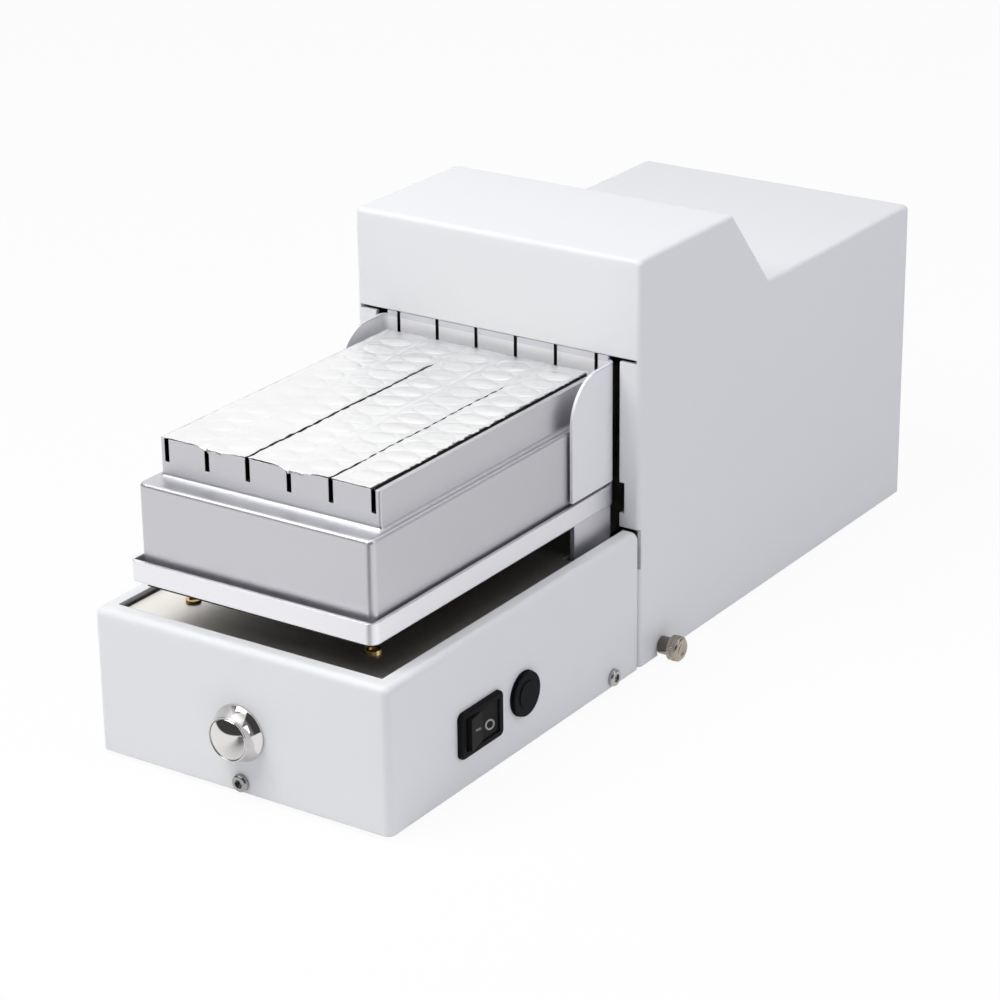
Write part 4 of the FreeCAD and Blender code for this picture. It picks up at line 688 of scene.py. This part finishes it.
def thumbscrew(side, node, body):
    """Turned screw with a plain collar and a knurled head with bevelled ends.

    The knurl adds a triangle wave of the angle, leaning both ways along the head.
    """
    wall = high("base_cover")[0]
    spot = middle(node)
    end = max(abs(low(node)[0]), abs(high(node)[0])) - wall
    radius = (high(node)[2] - low(node)[2]) / 2

    def knurl(reach, angle):
        on_head = (reach > NECK_REACH + KNURL_MARGIN) & (reach < end - KNURL_MARGIN)
        lean = KNURL_LEAN * (reach - NECK_REACH)
        right_way = np.abs(((KNURLS * angle + lean) / FULL_TURN) % 1 - 0.5)
        left_way = np.abs(((KNURLS * angle - lean) / FULL_TURN) % 1 - 0.5)
        return np.where(on_head, KNURL_DEPTH * (4 * np.minimum(right_way, left_way) - 1), 0)

    head = radius - HEAD_SKIN
    shank = [(-SHANK_REACH, 0), (-SHANK_REACH, SHANK_RADIUS), (NECK_GAP, SHANK_RADIUS)]
    neck = [(NECK_GAP, NECK_RADIUS), (NECK_REACH, NECK_RADIUS), (NECK_REACH, head - HEAD_BEVEL)]
    reaches = np.linspace(NECK_REACH + HEAD_MARGIN, end - HEAD_MARGIN, HEAD_RINGS)
    rings = [(reach, head) for reach in reaches]
    hollow = end - DISH_DEPTH
    dish = [(end, head - HEAD_BEVEL), (end, DISH_RADIUS), (hollow, SHANK_RADIUS), (hollow, 0)]
    start = (side * wall, spot[1], spot[2])
    profile = shank + neck + rings + dish
    piece = turned(
        "knurled_" + node, profile, start, (side, 0, 0), (0, 1, 0), SCREW_SEGMENTS, knurl,
    )
    add_piece(piece, "nickel", body, node)


thumbscrew(1, "thumbscrew_right", "thumbscrew_right")
thumbscrew(-1, "thumbscrew_left", "thumbscrew_left")


# Marks on the rocker

ROCKER_PIVOT_IN = 2.0
ROCKER_TILT = math.radians(6.0)
ROCKER_HALF = 8.1
ROCKER_MIDDLE_REACH = 3.3
ROCKER_END_REACH = 4.0
MARK_SLANT = 0.25
MARK_LIFT = 0.06
MARK_SINK = 0.05
BAR_START = -5.6
BAR_LENGTH = 4.0
BAR_LOW = -0.35
BAR_HEIGHT = 0.75
BAR_MIDDLE = -3.2
BAR_STEPS = 9
RING_ALONG = 3.6
RING_UP = -1.4
RING_LENGTHS = (1.75, 2.6)
RING_HEIGHTS = (1.20, 1.8)
RING_STEPS = 49


def on_rocker(along, up, lift):
    """Points on the face of the tipped rocker, from places along and up its face.

    The face is a shallow V: its reach grows with the distance from the pin.
    """
    spot = middle("rocker")
    pivot = np.array([high("base_cover")[0] - ROCKER_PIVOT_IN, middle("rocker_frame")[1], spot[2]])
    slope = (ROCKER_END_REACH - ROCKER_MIDDLE_REACH) / ROCKER_HALF
    reach = ROCKER_MIDDLE_REACH + slope * np.abs(along) + lift
    x = reach * math.cos(ROCKER_TILT) - along * math.sin(ROCKER_TILT)
    y = reach * math.sin(ROCKER_TILT) + along * math.cos(ROCKER_TILT)
    return np.stack([pivot[0] + x, pivot[1] + y, pivot[2] + up], axis=-1)


def rocker_marks():
    """A bar and an oval ring printed on the rocker, each a thin sheet bent to its face."""
    share = np.linspace(0, 1, BAR_STEPS)
    along, up = np.meshgrid(BAR_START + BAR_LENGTH * share, BAR_LOW + BAR_HEIGHT * share, indexing="ij")
    up = up - MARK_SLANT * (along - BAR_MIDDLE)
    bar = sheet_solid("mark_bar", on_rocker(along, up, MARK_LIFT), on_rocker(along, up, -MARK_SINK))
    add_piece(bar, "mark_dim", "rocker")
    angle = np.linspace(0, FULL_TURN, RING_STEPS)
    around = np.array(RING_LENGTHS) * np.cos(angle)[:, None]
    along = RING_ALONG + around
    up = RING_UP + np.array(RING_HEIGHTS) * np.sin(angle)[:, None] - MARK_SLANT * around
    ring = sheet_solid("mark_ring", on_rocker(along, up, MARK_LIFT), on_rocker(along, up, -MARK_SINK))
    add_piece(ring, "mark_white", "rocker")


rocker_marks()


# Camera, floor and light

CAMERA_PLACE = Vector((0.5400, FRONT * MM - 0.6608, 0.4396))
CAMERA_AIM = Vector((0.0731, FRONT * MM + 0.0299, 0.1005))
CAMERA_ROLL = math.radians(-0.67)
LENS = 115.86
SENSOR = 36.0
NEAR_CLIP = 0.01

# World: its light, and where mirrors show it dim, by how far a ray rises, faces the front and goes right
WORLD_LEVEL = 0.37
WORLD_TINT = (0.93, 0.945, 1.0)
DIM_HEIGHT = (0.0, 0.06)
DIM_FRONT = (-0.25, 0.15)
DIM_RIGHT = (0.1, 0.5)
DIM_SHARE = 0.8
DIM_LEVEL = 0.06

# Floor: its own shade and glow, the dark place before the corner, and the dim place beside the object
FLOOR_HALF = 6.0
FLOOR_ROUGH = 0.9
FLOOR_SHADE = 0.85
FLOOR_GLOW = 0.94
STAND_LEAN = 0.25
STAND_SLOPE = 0.75
STAND_SIDE = (-0.04, 0.01)
STAND_AHEAD = (-0.03, 0.05)
STAND_DARK = 0.9
BESIDE_RIGHT = (0.05, 0.15)
BESIDE_BACK = (0.05, 0.17)
BESIDE_FADE = (0.13, 0.21)
FADE_SHARE = 0.65
BESIDE_DARK = 0.65


def camera():
    """Camera at the fitted place, aimed at the fitted point, with a small roll."""
    data = bpy.data.cameras.new("view")
    data.lens = LENS
    data.sensor_width = SENSOR
    data.clip_start = NEAR_CLIP
    item = bpy.data.objects.new("view", data)
    aim = (CAMERA_AIM - CAMERA_PLACE).to_track_quat("-Z", "Y").to_matrix().to_4x4()
    item.matrix_world = Matrix.Translation(CAMERA_PLACE) @ aim @ Matrix.Rotation(CAMERA_ROLL, 4, "Z")
    bpy.context.scene.collection.objects.link(item)
    bpy.context.scene.camera = item


def lamp(name, place, aim, power, width, color=(1, 1, 1)):
    """A soft square lamp that faces a point."""
    data = bpy.data.lights.new(name, "AREA")
    data.energy = power
    data.size = width
    data.color = color
    item = bpy.data.objects.new(name, data)
    turn = (Vector(aim) - Vector(place)).to_track_quat("-Z", "Y").to_matrix().to_4x4()
    item.matrix_world = Matrix.Translation(Vector(place)) @ turn
    bpy.context.scene.collection.objects.link(item)


def light_path(tree):
    """Rays from the camera or through glass, and rays from mirrors, each as one or nought."""
    path = tree.nodes.new("ShaderNodeLightPath")
    straight = math_node(tree, "ADD", path.outputs["Is Camera Ray"], path.outputs["Is Transmission Ray"])
    return math_node(tree, "MINIMUM", straight, 1.0), path.outputs["Is Glossy Ray"]


def ramp_node(tree, value, start, end):
    """Nought before the start and one after the end, with a smooth rise between them."""
    node = tree.nodes.new("ShaderNodeMapRange")
    node.interpolation_type = "SMOOTHSTEP"
    node.inputs["From Min"].default_value = start
    node.inputs["From Max"].default_value = end
    tree.links.new(value, node.inputs["Value"])
    return node.outputs["Result"]


def studio_world():
    """White where it is seen, cool and plain where it lights the object.

    In mirrors the room over the photographer is dim: the white falls with the height of a ray
    and with how far it points to the front or to the right.
    """
    world = bpy.data.worlds.new("studio")
    world.use_nodes = True
    tree = world.node_tree
    seen = tree.nodes["Background"]
    straight, mirrored = light_path(tree)
    place = tree.nodes.new("ShaderNodeTexCoord")
    split = tree.nodes.new("ShaderNodeSeparateXYZ")
    tree.links.new(place.outputs["Generated"], split.inputs["Vector"])
    above = ramp_node(tree, split.outputs["Z"], *DIM_HEIGHT)
    facing = ramp_node(tree, math_node(tree, "MULTIPLY", split.outputs["Y"], -1.0), *DIM_FRONT)
    beside = math_node(tree, "MULTIPLY", ramp_node(tree, split.outputs["X"], *DIM_RIGHT), DIM_SHARE)
    aside = math_node(tree, "MAXIMUM", facing, beside)
    dim = math_node(tree, "MULTIPLY", math_node(tree, "MULTIPLY", above, aside), mirrored)
    level = math_node(tree, "SUBTRACT", 1.0, math_node(tree, "MULTIPLY", dim, 1.0 - DIM_LEVEL))
    tree.links.new(level, seen.inputs["Strength"])
    seen.inputs["Color"].default_value = (1.0, 1.0, 1.0, 1.0)
    lighting = tree.nodes.new("ShaderNodeBackground")
    lighting.inputs["Color"].default_value = (*WORLD_TINT, 1.0)
    lighting.inputs["Strength"].default_value = WORLD_LEVEL
    mix = tree.nodes.new("ShaderNodeMixShader")
    share = math_node(tree, "MINIMUM", math_node(tree, "ADD", straight, mirrored), 1.0)
    tree.links.new(share, mix.inputs["Fac"])
    tree.links.new(lighting.outputs["Background"], mix.inputs[1])
    tree.links.new(seen.outputs["Background"], mix.inputs[2])
    tree.links.new(mix.outputs["Shader"], tree.nodes["World Output"].inputs["Surface"])
    bpy.context.scene.world = world


def studio_floor():
    """Wide pale floor that keeps the shadow and fades into the white background.

    Its share of plain white is the same all over for the camera. In mirrors it is dark before the
    right front corner, where the photographer stands, and dim beside the right side, less so far out.
    """
    signs = np.array([(-1, -1, 0), (1, -1, 0), (1, 1, 0), (-1, 1, 0)])
    corners = FLOOR_HALF * signs / MM
    floor = mesh_piece("studio_floor", corners, [[0, 1, 2, 3]], smooth=False)
    material = bpy.data.materials.new("pale_floor")
    material.use_nodes = True
    tree = material.node_tree
    shader = tree.nodes["Principled BSDF"]
    shader.inputs["Roughness"].default_value = FLOOR_ROUGH
    glow = tree.nodes.new("ShaderNodeEmission")
    glow.inputs["Strength"].default_value = 1.0
    mix = tree.nodes.new("ShaderNodeMixShader")
    straight, mirrored = light_path(tree)
    place = tree.nodes.new("ShaderNodeTexCoord")
    split = tree.nodes.new("ShaderNodeSeparateXYZ")
    tree.links.new(place.outputs["Object"], split.inputs["Vector"])
    right = split.outputs["X"]
    back = math_node(tree, "SUBTRACT", split.outputs["Y"], FRONT * MM)
    sideways = math_node(tree, "ADD", right, math_node(tree, "MULTIPLY", back, STAND_LEAN))
    ahead = math_node(tree, "ADD", back, math_node(tree, "MULTIPLY", right, STAND_SLOPE))
    stand = math_node(
        tree, "MULTIPLY", ramp_node(tree, sideways, *STAND_SIDE),
        ramp_node(tree, math_node(tree, "MULTIPLY", ahead, -1.0), *STAND_AHEAD),
    )
    beside = math_node(
        tree, "MULTIPLY", ramp_node(tree, right, *BESIDE_RIGHT), ramp_node(tree, back, *BESIDE_BACK),
    )
    far = math_node(tree, "MULTIPLY", ramp_node(tree, right, *BESIDE_FADE), FADE_SHARE)
    beside = math_node(tree, "MULTIPLY", beside, math_node(tree, "SUBTRACT", 1.0, far))
    dark = math_node(
        tree, "MAXIMUM", math_node(tree, "MULTIPLY", stand, STAND_DARK),
        math_node(tree, "MULTIPLY", beside, BESIDE_DARK),
    )
    pale = math_node(tree, "SUBTRACT", 1.0, math_node(tree, "MULTIPLY", dark, mirrored))
    tree.links.new(math_node(tree, "MULTIPLY", pale, FLOOR_SHADE), shader.inputs["Base Color"])
    share = math_node(tree, "MULTIPLY", straight, FLOOR_GLOW)
    shown = math_node(tree, "MULTIPLY", mirrored, pale)
    mirror_share = math_node(tree, "MULTIPLY", shown, FLOOR_GLOW)
    tree.links.new(math_node(tree, "MAXIMUM", share, mirror_share), mix.inputs["Fac"])
    tree.links.new(shader.outputs["BSDF"], mix.inputs[1])
    tree.links.new(glow.outputs["Emission"], mix.inputs[2])
    tree.links.new(mix.outputs["Shader"], tree.nodes["Material Output"].inputs["Surface"])
    floor.data.materials.append(material)


camera()
studio_world()
studio_floor()
lamp("key", (-0.4, -0.6, 1.0), (0, 0, 0.05), 5.3, 0.8)
lamp("top", (0.2, 0.2, 1.8), (0, 0, 0.05), 4.2, 1.4)
lamp("near", (-0.1, -0.35, 0.55), (0, 0, 0.08), 1.15, 0.3)
lamp("right", (0.9, 0.15, 0.6), (0, 0, 0.06), 2.3, 0.6, (0.91, 0.90, 1.0))

bpy.context.scene.view_settings.view_transform = "Standard"
